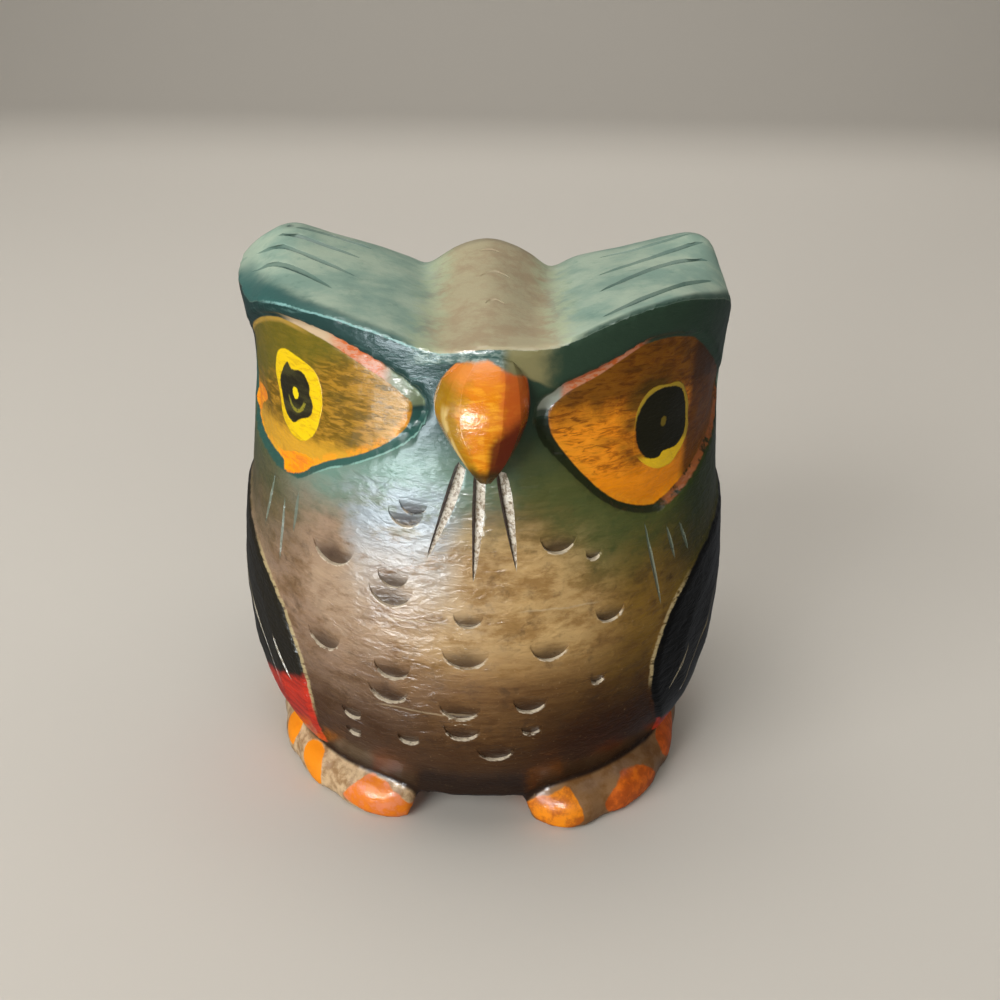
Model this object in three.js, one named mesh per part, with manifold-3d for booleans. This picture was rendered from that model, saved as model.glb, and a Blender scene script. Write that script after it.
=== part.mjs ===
// Small owl carved from one turned block of wood, standing on its own two feet.
// Millimetres, +Z up, the face looks along -Y, the underside rests on z = 0.
// The body is a turned blank; the head top, eye hollows, whiskers, ear grooves and
// chest scallops are cut away, and the beak, wings, feet and tail are left proud.
import * as THREE from 'three';
import { mergeVertices } from 'three/addons/utils/BufferGeometryUtils.js';
import Module from 'manifold-3d';

const wasm = await Module();
wasm.setup();

const COLOUR = 0x6b5a3f;
const ROUGHNESS = 0.38;
const METALNESS = 0.0;

// Turned blank: radius at each height, from the underside to above the ears.
const BLANK_PROFILE = [
  [34.5, 0], [36.0, 3], [36.9, 5.5], [37.7, 8], [38.8, 10.7], [40.3, 14], [41.5, 18.5],
  [42.2, 25], [42.4, 32], [42.1, 39], [41.3, 46], [40.5, 52], [39.8, 58], [39.1, 65],
  [39.0, 72], [39.2, 78], [40.0, 84], [40.2, 90], [40.0, 97],
];
const BLANK_SIDES = 60;

// Outline of the head seen from the front: x and height of the crest, ear to ear.
const HEAD_CREST = [
  [-48, 76], [-43, 81.0], [-41.2, 84.3], [-39.8, 86.5], [-37.5, 88.6], [-34.6, 90.3],
  [-32.1, 91.0], [-28.1, 89.9], [-24.2, 88.8], [-20.1, 87.8], [-16.1, 86.6],
  [-12.9, 85.5], [-10.4, 84.6], [-8, 85.9], [-5.5, 87.4], [-2.8, 88.5], [0.2, 89.0],
  [3.1, 88.4], [5.9, 87.2], [8.4, 85.6], [10.6, 84.3], [14.1, 86.0], [18.1, 87.1],
  [22.1, 88.0], [26.1, 89.0], [30, 90.0], [32.8, 90.6], [35.0, 90.2], [36.4, 88.9],
  [37.2, 86.5], [37.7, 81], [38.2, 74], [38.9, 68], [40, 63], [43, 57], [48, 50],
];
// Front edge of the head top, above the brows: x and height on the face of the blank.
const BROW_EDGE = [
  [-48, 80], [-36.5, 83.4], [-33.3, 84.8], [-29.6, 85.7], [-25.7, 85.8], [-21.1, 85.7],
  [-17.6, 85.1], [-14.1, 84.5], [-10, 83.3], [-6.1, 82.4], [0, 83.3], [7.6, 83.2],
  [11.5, 84.3], [14.7, 85.6], [18.8, 86.9], [23.1, 87.6], [27.8, 87.7], [33.2, 86.4],
  [35.4, 85.4], [36.9, 82.6], [37.0, 78], [37.3, 72], [38.3, 66], [41, 60], [48, 50],
];
const CROWN_PINCH = 5.0;
const CROWN_HALF = 5.5;
const CROWN_FADE = 20;
const CREST_ROUND = 10;
const BACK_DROP = 0.4;
const BACK_CURVE = 90;
const FACE_REACH = 39.5;
const NARROWEST_REACH = 18;
const PAST_FACE = 1.25;
const CREST_POINTS = 64;
const TOP_REACH = 48;
const TOP_STEPS = 11;

// Eye hollows: azimuth and height round the painted patch, with the width and the
// depth of the cut that runs along it at each corner.
const EYE_FLOOR = 38.3;
const LEFT_EYE = [
  [-15.2, 74.4, 2.6, 2.4], [-20, 76.8, 2.5, 2.4], [-27.2, 79.1, 2.4, 2.3],
  [-34.8, 81.0, 2.1, 2.0], [-43.2, 82.1, 1.4, 1.7], [-50, 82.4, 1.0, 1.5],
  [-58, 81.4, 0.8, 1.4], [-68, 79.0, 0.8, 1.2], [-78, 76.0, 0.8, 1.0],
  [-84, 72.4, 0.8, 0.9], [-83, 67.4, 0.8, 0.9], [-75.5, 63.0, 0.8, 0.9],
  [-67, 61.2, 0.9, 0.9], [-60, 60.4, 1.0, 0.9], [-52.5, 59.7, 1.0, 1.0],
  [-45.5, 59.9, 1.0, 1.1], [-40.5, 61.7, 0.9, 1.2], [-35.5, 63.5, 0.9, 1.3],
  [-30.4, 64.8, 0.9, 1.4], [-25.4, 66.4, 0.9, 1.5], [-20.4, 68.4, 1.1, 1.7],
  [-16.4, 71.0, 1.7, 2.1],
];
const RIGHT_EYE = [
  [12.9, 74.0, 2.1, 2.4], [17.3, 76.5, 1.7, 2.3], [22.5, 78.0, 1.5, 2.2],
  [28.2, 79.8, 1.4, 2.0], [33.8, 81.5, 1.2, 1.8], [41.0, 81.9, 0.9, 1.6],
  [50.0, 80.8, 0.8, 1.5], [58.5, 77.5, 0.8, 1.4], [66, 74.4, 0.8, 1.2],
  [74, 71.4, 0.8, 1.0], [80, 68.6, 0.8, 0.9], [79, 65.6, 0.8, 0.9],
  [70.5, 63.2, 0.8, 0.9], [61.5, 61.2, 0.8, 0.9], [54, 59.1, 0.8, 0.9],
  [47, 57.4, 0.8, 0.9], [41.2, 56.4, 0.8, 0.9], [35.7, 57.2, 0.8, 1.0],
  [30.2, 58.8, 0.9, 1.1], [25.4, 61.2, 1.0, 1.2], [21.0, 64.2, 1.1, 1.3],
  [17.2, 67.2, 1.3, 1.7], [13.7, 70.6, 1.8, 2.1],
];
const EYE_POINTS = 36;
const EYE_TENSION = 0.3;
const EYE_MOUTH = 52;
const EYE_AHEAD = 60;

// Beak: height, middle in x, half width, reach forward and flat of the front face.
const BEAK = [
  [82.6, 0.6, 2.6, 38.6, 0.4], [81.2, 0.3, 3.9, 41.0, 0.5], [79.0, -0.2, 5.3, 43.2, 0.5],
  [76.6, -0.5, 6.0, 44.8, 0.46], [74.6, -0.5, 6.1, 45.6, 0.44], [72.2, -0.3, 5.2, 46.1, 0.42],
  [70.0, -0.1, 3.9, 46.0, 0.4], [68.0, 0.05, 2.5, 45.4, 0.38], [66.6, 0.1, 1.4, 44.5, 0.36],
  [65.6, 0.2, 0.7, 43.4, 0.36],
];
const BEAK_ROOT = 30;
const BEAK_BEVEL = 4.6;
const BEAK_BEVEL_SHARE = 0.9;
// How far out each shoulder lies and how far back, as shares of half width and bevel,
// and how far the edges of the front face fall back from its ridge.
const BEAK_LEFT = { out: 0.78, back: 0.32, edge: 0.25 };
const BEAK_RIGHT = { out: 0.82, back: 0.4, edge: 0.35 };
const BEAK_RIDGE = 0.1;
const BEAK_TOP_REACH = 34;
const BEAK_POINT = { back: 1.6, below: 0.6 };

// Whiskers: azimuth and height of the top and of the foot of each cut.
const WHISKERS = [
  [-5.0, 67.0, -11.4, 52.2], [-1.6, 66.0, -1.9, 49.0], [2.6, 66.0, 6.8, 50.6],
];
const WHISKER_WIDTH = 2.2;
const WHISKER_DEPTH = 1.2;

// Fine cuts under the eyes, the same way.
const CHEEK_LINES = [
  [-54.3, 57.8, -58.8, 47.6], [-49.6, 55.0, -50.6, 43.8], [-44.2, 57.0, -45.9, 49.7],
  [36.2, 55.0, 41.5, 39.9], [43.2, 53.1, 46.3, 46.5], [48.0, 52.4, 51.8, 46.5],
];
const CHEEK_WIDTH = 0.9;
const CHEEK_DEPTH = 0.45;

// Ear grooves: plan positions along each cut, from the ear tip inwards.
const EAR_GROOVES = [
  [[-31.5, -0.8], [-25.1, 0.6], [-18.6, -1.0]],
  [[-33.6, -3.3], [-29.2, -3.9], [-24.1, -5.4], [-19.7, -7.5]],
  [[-36.8, -5.6], [-31.5, -8.2], [-25.1, -12.2], [-19.3, -16.9]],
  [[-36.6, -10.8], [-31.8, -13.9], [-26.3, -18.5], [-21.9, -23.7]],
  [[33.5, 1.5], [24.7, -1.3], [17.5, -2.2]],
  [[34.3, -2.6], [25.1, -8.4], [16.4, -13.2]],
  [[33.8, -9.7], [25.6, -13.8], [15.8, -22.3]],
  [[32.9, -17.8], [25.8, -25.1], [18.4, -31.5], [15.2, -33.6]],
];
const EAR_WIDTH = 1.5;
const EAR_DEPTH = 1.0;

// V-shaped cuts: length of one step, how they taper, how far the tool stands above the
// surface along the cut and at its ends, and how far its sides spread.
const CUT_STEP = 5;
const CUT_LEAST_STEPS = 3;
const CUT_TAPER = 0.5;
const CUT_RISE = 0.6;
const CUT_END_RISE = 0.3;
const CUT_SPREAD = 0.8;

// Wings: azimuth and height along the front edge from the tip to the shoulder, for the
// left and for the right, and then round the rest, which both share.
const LEFT_WING_FRONT = [
  [44.5, 7.8], [42.2, 11.6], [41.1, 15.6], [41.0, 19.4], [41.2, 23.2], [42.1, 26.9],
  [43.9, 30.6], [46.3, 33.9], [49.1, 36.8], [52.7, 39.3], [61.1, 43.1], [69, 46.0],
];
const RIGHT_WING_FRONT = [
  [54, 8.0], [48.5, 13.2], [44, 18.6], [41.3, 22.6], [40.0, 26.1], [39.7, 29.7],
  [40.4, 32.5], [41.8, 35.2], [44.2, 38.1], [47.8, 40.9], [55, 44.2], [67, 47.2],
];
const WING_REST = [
  [79, 49.2], [90, 50.6], [101, 50.2], [112, 48.2], [122, 44.8], [129, 40.2],
  [131.5, 34.6], [129, 28.8], [121, 23.2], [109, 18.4], [95, 14.6], [81, 11.4],
  [68, 8.8], [58, 7.2],
];
const WING_PROUD = 0.8;
const WING_EASE = 0.5;
const WING_EASED = 0.965;
const WING_POINTS = 34;
const WING_TENSION = 0.4;
const WING_ROOT = -3;
const WING_HEART = 34;
const WING_FEATHERS = [
  [[53.5, 29.5], [50.5, 25.5], [46.8, 21.6]],
  [[100, 44], [76, 36], [61, 27], [53, 18]],
  [[113, 38], [88, 29], [70, 20], [61, 13]],
  [[118, 31], [98, 23], [84, 16.5], [75, 13]],
];
const FEATHER_WIDTH = 1.2;
const FEATHER_DEPTH = 0.7;

// Chest scallops: azimuth, height and half width of each gouge cut.
const SCALLOPS = [
  [-16.1, 56.4, 2.7], [-14.5, 58.3, 2.1], [-33.3, 47.8, 4.2], [-18.5, 46.7, 2.4],
  [-19.0, 43.7, 3.6], [-35.3, 32.8, 3.4], [-3.1, 34.9, 3.6], [14.0, 35.9, 3.1],
  [27.3, 40.5, 2.6], [15.5, 52.9, 2.8], [23.3, 51.1, 1.3], [-18.4, 31.4, 3.0],
  [-19.4, 26.8, 3.5], [-29.0, 20.9, 1.9], [-29.3, 16.9, 1.5], [-4.1, 25.3, 3.2],
  [-3.7, 21.2, 2.8], [10.4, 26.6, 2.7], [11.0, 22.0, 1.6], [3.6, 16.7, 3.0],
  [-15.4, 18.8, 1.8], [25.1, 29.9, 1.3],
];
const SCALLOP_DEPTH = 1.0;
const SCALLOP_RAMP = 1.45;
const SCALLOP_SIDES = 12;
const GOUGE_LENGTH = 4;
const BACK_SCALLOPS = { rows: 3, first: 53, step: -9, half: 3.4, spread: 21 };

// Feet: reach of the ring of toes at each azimuth, cut back in front by the arch.
const FOOT_REACH = [
  [-180, 38.6], [-110, 38.3], [-88, 38.3], [-76, 38.8], [-71, 38.6], [-65, 39.7],
  [-59, 40.3], [-55.5, 39.8], [-50, 40.5], [-44, 40.9], [-39, 40.3], [-34, 40.9],
  [-27, 40.9], [-21.5, 40.0], [-18, 38.6], [-16.2, 36.6], [-14.6, 33], [9.6, 33],
  [11.6, 35.4], [14, 37.6], [17.5, 40.4], [21.5, 41.9], [26, 42.3], [31, 41.6],
  [36, 42.4], [42, 42.2], [48, 41.6], [53, 40.5], [58, 40.6], [63, 39.9], [69, 38.9],
  [75, 38.9], [86, 38.3], [110, 38.3], [180, 38.6],
];
const FOOT_SKIRT = [[0, 0.6], [1.0, 0.1], [3.6, 0.2], [5.6, 1.5], [7.2, 4.4]];
const FOOT_POINTS = 80;

// Arch between the feet: half widths about its middle at the floor and at its top.
const ARCH = {
  middle: -1.3, floor: 10.6, top: 8.1, height: 4.9, back: -8, front: -60, side: 0.9,
  corner: 1.4, ease: 0.4, flat: 2,
};

// Tail: height, half width and reach behind the axis.
const TAIL = [
  [29, 3.0, 42.2], [24, 6.2, 43.2], [16, 8.2, 43.6], [9, 9.4, 43.0], [3, 10.2, 42.0],
  [0, 10.2, 41.4],
];
const TAIL_ROOT = 30;
const TAIL_EDGE = 2.2;
const TAIL_CROWN = { half: 0.55, drop: 0.3 };
const TAIL_HEART = { y: 34, above: 1 };
const WELD = 1e-3;

const clamp = THREE.MathUtils.clamp;
const lerp = THREE.MathUtils.lerp;
const radians = THREE.MathUtils.degToRad;

// Value of a table of [x, y] pairs at x, along straight lines between them.
function along(table, x) {
  const last = table.length - 1;
  if (x <= table[0][0]) return table[0][1];
  for (let i = 0; i < last; i += 1) {
    const [x0, y0] = table[i];
    const [x1, y1] = table[i + 1];
    if (x <= x1) return lerp(y0, y1, (x - x0) / (x1 - x0));
  }
  return table[last][1];
}

// The same table drawn as a smooth curve and read off at even steps.
function smoothed(table, count) {
  const curve = new THREE.SplineCurve(table.map(([x, y]) => new THREE.Vector2(x, y)));
  return curve.getPoints(count).map((point) => [point.x, point.y]);
}

const CREST = smoothed(HEAD_CREST, 96);
const EDGE = smoothed(BROW_EDGE, 72);
const BLANK = smoothed(BLANK_PROFILE, 72).map(([radius, height]) => [height, radius]);
const blankRadius = (height) => along(BLANK, height);

// Point on the round body at an azimuth in degrees, a height and a radius.
function wrap(azimuth, height, radius) {
  const angle = radians(azimuth);
  return new THREE.Vector3(radius * Math.sin(angle), -radius * Math.cos(angle), height);
}

// Height of the head top over a plan position.
function topHeight(x, y) {
  if (y > 0) {
    const round = Math.min(y, CREST_ROUND);
    const beyond = Math.max(0, y - CREST_ROUND);
    const drop = (round * round * BACK_DROP) / (2 * CREST_ROUND);
    return along(CREST, x) - drop - BACK_DROP * beyond - (beyond * beyond) / BACK_CURVE;
  }
  const chord = FACE_REACH * FACE_REACH - x * x;
  const reach = Math.sqrt(Math.max(NARROWEST_REACH * NARROWEST_REACH, chord));
  const share = clamp(-y / reach, 0, PAST_FACE);
  const inner = Math.min(1, Math.abs(x) / CROWN_HALF);
  const outer = Math.max(0, 1 - Math.max(0, Math.abs(x) - CROWN_HALF) / CROWN_FADE);
  const shifted = x + Math.sign(x) * CROWN_PINCH * share * inner * outer;
  return lerp(along(CREST, shifted), along(EDGE, x), share);
}

// Closed solid from a geometry: welded, without flat triangles, facing outwards.
function solid(geometry) {
  geometry.deleteAttribute('normal');
  geometry.deleteAttribute('uv');
  const welded = mergeVertices(geometry, WELD);
  const position = welded.attributes.position;
  const corners = welded.index.array;
  const kept = [];
  let volume = 0;
  const [a, b, c] = [new THREE.Vector3(), new THREE.Vector3(), new THREE.Vector3()];
  for (let i = 0; i < corners.length; i += 3) {
    const [p, q, r] = [corners[i], corners[i + 1], corners[i + 2]];
    if (p === q || q === r || r === p) continue;
    kept.push(p, q, r);
    a.fromBufferAttribute(position, p);
    b.fromBufferAttribute(position, q);
    c.fromBufferAttribute(position, r);
    volume += a.dot(b.cross(c));
  }
  if (volume < 0) kept.reverse();
  return new wasm.Manifold(new wasm.Mesh({
    numProp: 3,
    vertProperties: new Float32Array(position.array),
    triVerts: new Uint32Array(kept),
  }));
}

// Closed skin through a stack of rings with equal counts, closed by a tip at each end.
function skin(firstTip, rings, lastTip) {
  const around = rings[0].length;
  const rows = rings.length + 1;
  const geometry = new THREE.SphereGeometry(1, around, rows);
  const position = geometry.attributes.position;
  for (let row = 0; row <= rows; row += 1) {
    for (let step = 0; step <= around; step += 1) {
      let point = row === 0 ? firstTip : lastTip;
      if (row > 0 && row < rows) point = rings[row - 1][step % around];
      position.setXYZ(row * (around + 1) + step, point.x, point.y, point.z);
    }
  }
  return solid(geometry);
}

// V-shaped cut along a path on the surface; outwards gives the surface direction.
function knifeCut(path, outwards, width, depth) {
  const curve = new THREE.CatmullRomCurve3(path);
  const steps = Math.max(CUT_LEAST_STEPS, Math.round(curve.getLength() / CUT_STEP));
  const rings = [];
  for (let i = 1; i < steps; i += 1) {
    const share = i / steps;
    const size = Math.pow(Math.sin(Math.PI * share), CUT_TAPER);
    const middle = curve.getPoint(share);
    const out = outwards(middle);
    const side = curve.getTangent(share).cross(out).normalize();
    const high = middle.clone().addScaledVector(out, depth * CUT_RISE);
    const half = width * CUT_SPREAD * size;
    rings.push([
      high.clone().addScaledVector(side, half),
      high.clone().addScaledVector(side, -half),
      middle.clone().addScaledVector(out, -depth * size),
    ]);
  }
  const rise = depth * CUT_END_RISE;
  const first = path[0].clone().addScaledVector(outwards(path[0]), rise);
  const end = path[path.length - 1];
  return skin(first, rings, end.clone().addScaledVector(outwards(end), rise));
}

const radial = (point) => new THREE.Vector3(point.x, point.y, 0).normalize();
const upward = () => new THREE.Vector3(0, 0, 1);

// Straight V-cut on the round body between two azimuth and height positions.
function bodyCut(cut, width, depth) {
  const [az0, z0, az1, z1] = cut;
  const path = [0, 0.5, 1].map((share) => {
    const height = lerp(z0, z1, share);
    return wrap(lerp(az0, az1, share), height, blankRadius(height));
  });
  return knifeCut(path, radial, width, depth);
}

// Turned blank.
function blank() {
  const half = BLANK_PROFILE.map(([radius, height]) => new THREE.Vector2(radius, height));
  const top = half[half.length - 1];
  half.unshift(new THREE.Vector2(0, 0));
  half.push(new THREE.Vector2(0, top.y));
  const geometry = new THREE.LatheGeometry(half, BLANK_SIDES);
  geometry.rotateX(Math.PI / 2);
  return solid(geometry);
}

// Everything below the head top: the crest outline pushed back through the block and
// then bent down to the brow in front and to the nape behind.
function belowTop() {
  const below = -5;
  const shape = new THREE.Shape();
  shape.moveTo(-TOP_REACH, below);
  for (const [x, height] of smoothed(HEAD_CREST, CREST_POINTS)) {
    shape.lineTo(clamp(x, -TOP_REACH, TOP_REACH), height);
  }
  shape.lineTo(TOP_REACH, below);
  const geometry = new THREE.ExtrudeGeometry(shape, {
    depth: 2 * TOP_REACH, steps: TOP_STEPS, bevelEnabled: false,
  });
  geometry.rotateX(Math.PI / 2);
  geometry.translate(0, TOP_REACH, 0);
  const position = geometry.attributes.position;
  for (let i = 0; i < position.count; i += 1) {
    if (position.getZ(i) < 0) continue;
    position.setZ(i, topHeight(position.getX(i), position.getY(i)));
  }
  return solid(geometry);
}

// Eye hollow: a floor under the painted patch with a slanting cut round its edge.
function eyeHollow(corners) {
  const closed = new THREE.CatmullRomCurve3(
    corners.map(([az, height]) => new THREE.Vector3(az, height, 0)), true, 'catmullrom',
    EYE_TENSION,
  );
  const sizes = new THREE.CatmullRomCurve3(
    corners.map(([, , width, depth]) => new THREE.Vector3(width, depth, 0)), true,
    'catmullrom', EYE_TENSION,
  );
  const patch = closed.getPoints(EYE_POINTS).slice(0, EYE_POINTS);
  const size = sizes.getPoints(EYE_POINTS).slice(0, EYE_POINTS);
  const middle = patch.reduce((sum, point) => sum.add(point), new THREE.Vector3());
  middle.divideScalar(EYE_POINTS);
  const perDegree = radians(EYE_FLOOR);
  const rims = patch.map((point, i) => {
    const before = patch[(i + EYE_POINTS - 1) % EYE_POINTS];
    const after = patch[(i + 1) % EYE_POINTS];
    const dx = (after.x - before.x) * perDegree;
    const dz = after.y - before.y;
    const length = Math.hypot(dx, dz);
    const out = [dz / length, -dx / length];
    const away = [(point.x - middle.x) * perDegree, point.y - middle.y];
    const turn = out[0] * away[0] + out[1] * away[1] < 0 ? -1 : 1;
    const width = size[i].x * turn;
    return { az: point.x + (out[0] * width) / perDegree, z: point.y + out[1] * width };
  });
  const outside = rims.map(({ az, z }) => wrap(az, z, EYE_MOUTH));
  const cut = rims.map(({ az, z }, i) => wrap(az, z, blankRadius(z) - size[i].y));
  const rings = [outside, cut];
  for (const share of [1, 0.5]) {
    rings.push(patch.map((point) => wrap(
      lerp(middle.x, point.x, share), lerp(middle.y, point.y, share), EYE_FLOOR,
    )));
  }
  const ahead = wrap(middle.x, middle.y, EYE_AHEAD);
  return skin(ahead, rings, wrap(middle.x, middle.y, EYE_FLOOR));
}

// Beak: stacked outlines with a flat front, two bevels and straight sides.
function beak() {
  const [left, right] = [BEAK_LEFT, BEAK_RIGHT];
  const rings = BEAK.map(([height, middle, half, reach, flat]) => {
    const bevel = Math.min(BEAK_BEVEL, half * BEAK_BEVEL_SHARE);
    const shape = [
      [-1, -BEAK_ROOT], [-1, -reach + bevel], [-left.out, -reach + bevel * left.back],
      [-flat, -reach + left.edge], [flat * BEAK_RIDGE, -reach], [flat, -reach + right.edge],
      [right.out, -reach + bevel * right.back], [1, -reach + bevel], [1, -BEAK_ROOT],
    ];
    return shape.map(([across, y]) => new THREE.Vector3(middle + half * across, y, height));
  });
  const first = BEAK[0];
  const last = BEAK[BEAK.length - 1];
  const top = new THREE.Vector3(first[1], -BEAK_TOP_REACH, first[0]);
  const point = new THREE.Vector3(
    last[1], -last[3] + BEAK_POINT.back, last[0] - BEAK_POINT.below,
  );
  return skin(top, rings, point);
}

// Wing: the outline laid round the body, a little proud, with an eased edge.
function wing(side) {
  const front = side < 0 ? LEFT_WING_FRONT : RIGHT_WING_FRONT;
  const outline = [...front, ...WING_REST].map(([az, height]) => (
    new THREE.Vector3(side * az, height, 0)
  ));
  const closed = new THREE.CatmullRomCurve3(outline, true, 'catmullrom', WING_TENSION);
  const points = closed.getPoints(WING_POINTS).slice(0, WING_POINTS);
  const middle = points.reduce((sum, point) => sum.add(point), new THREE.Vector3());
  middle.divideScalar(WING_POINTS);
  const ring = (share, proud) => points.map((point) => {
    const height = lerp(middle.y, point.y, share);
    return wrap(lerp(middle.x, point.x, share), height, blankRadius(height) + proud);
  });
  const rings = [
    ring(1, WING_ROOT), ring(1, WING_PROUD - WING_EASE), ring(WING_EASED, WING_PROUD),
    ring(0.7, WING_PROUD), ring(0.35, WING_PROUD),
  ];
  const inside = wrap(middle.x, middle.y, WING_HEART);
  const outside = wrap(middle.x, middle.y, blankRadius(middle.y) + WING_PROUD);
  return skin(inside, rings, outside);
}

// Feather cuts across a wing.
function wingCuts(side) {
  return WING_FEATHERS.map((line) => {
    const path = line.map(([az, height]) => (
      wrap(side * az, height, blankRadius(height) + WING_PROUD)
    ));
    return knifeCut(path, radial, FEATHER_WIDTH, FEATHER_DEPTH);
  });
}

// Gouge cut: a short cylinder leant over, so it bites deepest along its lower edge.
function gouge([azimuth, height, half]) {
  const middle = height + half;
  const radius = blankRadius(middle);
  const slope = (blankRadius(middle + 1) - blankRadius(middle - 1)) / 2;
  const out = wrap(azimuth, -slope, 1).normalize();
  const down = wrap(azimuth, 0, slope).add(new THREE.Vector3(0, 0, 1)).normalize().negate();
  const run = SCALLOP_RAMP * half;
  const axis = out.clone().multiplyScalar(run).addScaledVector(down, SCALLOP_DEPTH);
  const geometry = new THREE.CylinderGeometry(half, half, GOUGE_LENGTH, SCALLOP_SIDES);
  geometry.translate(0, GOUGE_LENGTH / 2, 0);
  const turn = new THREE.Quaternion().setFromUnitVectors(
    new THREE.Vector3(0, 1, 0), axis.normalize(),
  );
  geometry.applyQuaternion(turn);
  const bite = SCALLOP_DEPTH * (1 - 1 / SCALLOP_RAMP);
  const seat = wrap(azimuth, middle, radius).addScaledVector(out, -bite);
  geometry.translate(seat.x, seat.y, seat.z);
  return solid(geometry);
}

// Ring of toes: one low skirt round the foot of the blank.
function feet() {
  const rings = FOOT_SKIRT.map(([height, inset]) => {
    const ring = [];
    for (let i = 0; i < FOOT_POINTS; i += 1) {
      const azimuth = -180 + (360 * i) / FOOT_POINTS;
      ring.push(wrap(azimuth, height, along(FOOT_REACH, azimuth) - inset));
    }
    return ring;
  });
  const crown = FOOT_SKIRT[FOOT_SKIRT.length - 1][0];
  return skin(new THREE.Vector3(0, 0, 0), rings, new THREE.Vector3(0, 0, crown));
}

// Arch between the feet, open in front, with a straight back end.
function arch() {
  const { middle, floor, top, height, back, front, side, corner, ease, flat } = ARCH;
  const below = floor + 2 * side;
  const shoulder = height - corner;
  const shape = new THREE.Shape();
  shape.moveTo(middle - below, -1);
  shape.lineTo(middle - floor, 0);
  shape.lineTo(middle - top - side, shoulder);
  shape.quadraticCurveTo(middle - top - side * ease, height, middle - top + flat, height);
  shape.lineTo(middle + top - flat, height);
  shape.quadraticCurveTo(middle + top + side * ease, height, middle + top + side, shoulder);
  shape.lineTo(middle + floor, 0);
  shape.lineTo(middle + below, -1);
  const geometry = new THREE.ExtrudeGeometry(shape, {
    depth: back - front, steps: 1, bevelEnabled: false, curveSegments: 3,
  });
  geometry.rotateX(Math.PI / 2);
  geometry.translate(0, back, 0);
  return solid(geometry);
}

// Tail: a low wedge down the back to the floor, rounded across.
function tail() {
  const { half: crown, drop } = TAIL_CROWN;
  const rings = TAIL.map(([height, half, reach]) => (
    [[-1, TAIL_ROOT], [-1, reach - TAIL_EDGE], [-crown, reach - drop], [0, reach],
      [crown, reach - drop], [1, reach - TAIL_EDGE], [1, TAIL_ROOT]]
      .map(([across, y]) => new THREE.Vector3(half * across, y, height))
  ));
  const top = new THREE.Vector3(0, TAIL_HEART.y, TAIL[0][0] + TAIL_HEART.above);
  return skin(top, rings, new THREE.Vector3(0, TAIL_HEART.y, 0));
}

// Loose rows of the same gouge cuts on the back.
function backScallops() {
  const { rows, first, step, half, spread } = BACK_SCALLOPS;
  const cuts = [];
  for (let row = 0; row < rows; row += 1) {
    const count = row % 2 === 0 ? 2 : 3;
    for (let i = 0; i < count; i += 1) {
      const azimuth = 180 + (i - (count - 1) / 2) * spread;
      cuts.push(gouge([azimuth, first + row * step, half]));
    }
  }
  return cuts;
}

// Grooves across the two ear tufts, cut down into the head top.
function earCuts() {
  return EAR_GROOVES.map((line) => {
    const path = line.map(([x, y]) => new THREE.Vector3(x, y, topHeight(x, y)));
    return knifeCut(path, upward, EAR_WIDTH, EAR_DEPTH);
  });
}

// Put the body together, then cut.
let owl = blank().intersect(belowTop());
owl = owl.subtract(eyeHollow(LEFT_EYE)).subtract(eyeHollow(RIGHT_EYE));
owl = owl.add(beak()).add(wing(-1)).add(wing(1)).add(feet()).add(tail());
const cuts = [
  ...WHISKERS.map((cut) => bodyCut(cut, WHISKER_WIDTH, WHISKER_DEPTH)),
  ...CHEEK_LINES.map((cut) => bodyCut(cut, CHEEK_WIDTH, CHEEK_DEPTH)),
  ...earCuts(), ...wingCuts(-1), ...wingCuts(1),
  ...SCALLOPS.map(gouge), ...backScallops(), arch(),
];
for (const cut of cuts) owl = owl.subtract(cut);

const carved = owl.getMesh();
const geometry = new THREE.BufferGeometry();
geometry.setAttribute('position', new THREE.BufferAttribute(carved.vertProperties, 3));
geometry.setIndex(new THREE.BufferAttribute(carved.triVerts, 1));
geometry.computeVertexNormals();

const material = new THREE.MeshStandardMaterial({
  color: COLOUR, roughness: ROUGHNESS, metalness: METALNESS,
});
material.name = 'painted_wood';
const mesh = new THREE.Mesh(geometry, material);
mesh.name = 'carved_owl';
const object = new THREE.Group();
object.name = 'owl';
object.add(mesh);

export default object;
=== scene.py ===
# %% [markdown]
# # A small carved and painted owl
# The owl is one block of soft wood, turned to a squat barrel, then carved: the head top
# slants between two ear tufts, the eyes lie in flat hollows, the beak, wings, feet and
# tail are left standing. It was stained, painted by hand and varnished. This lesson
# carves it again the same way: a turned blank, a few big cuts, then small knife cuts,
# and last the paint, layer over layer.

import bmesh
import bpy
import numpy as np
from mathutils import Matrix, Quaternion, Vector


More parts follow.
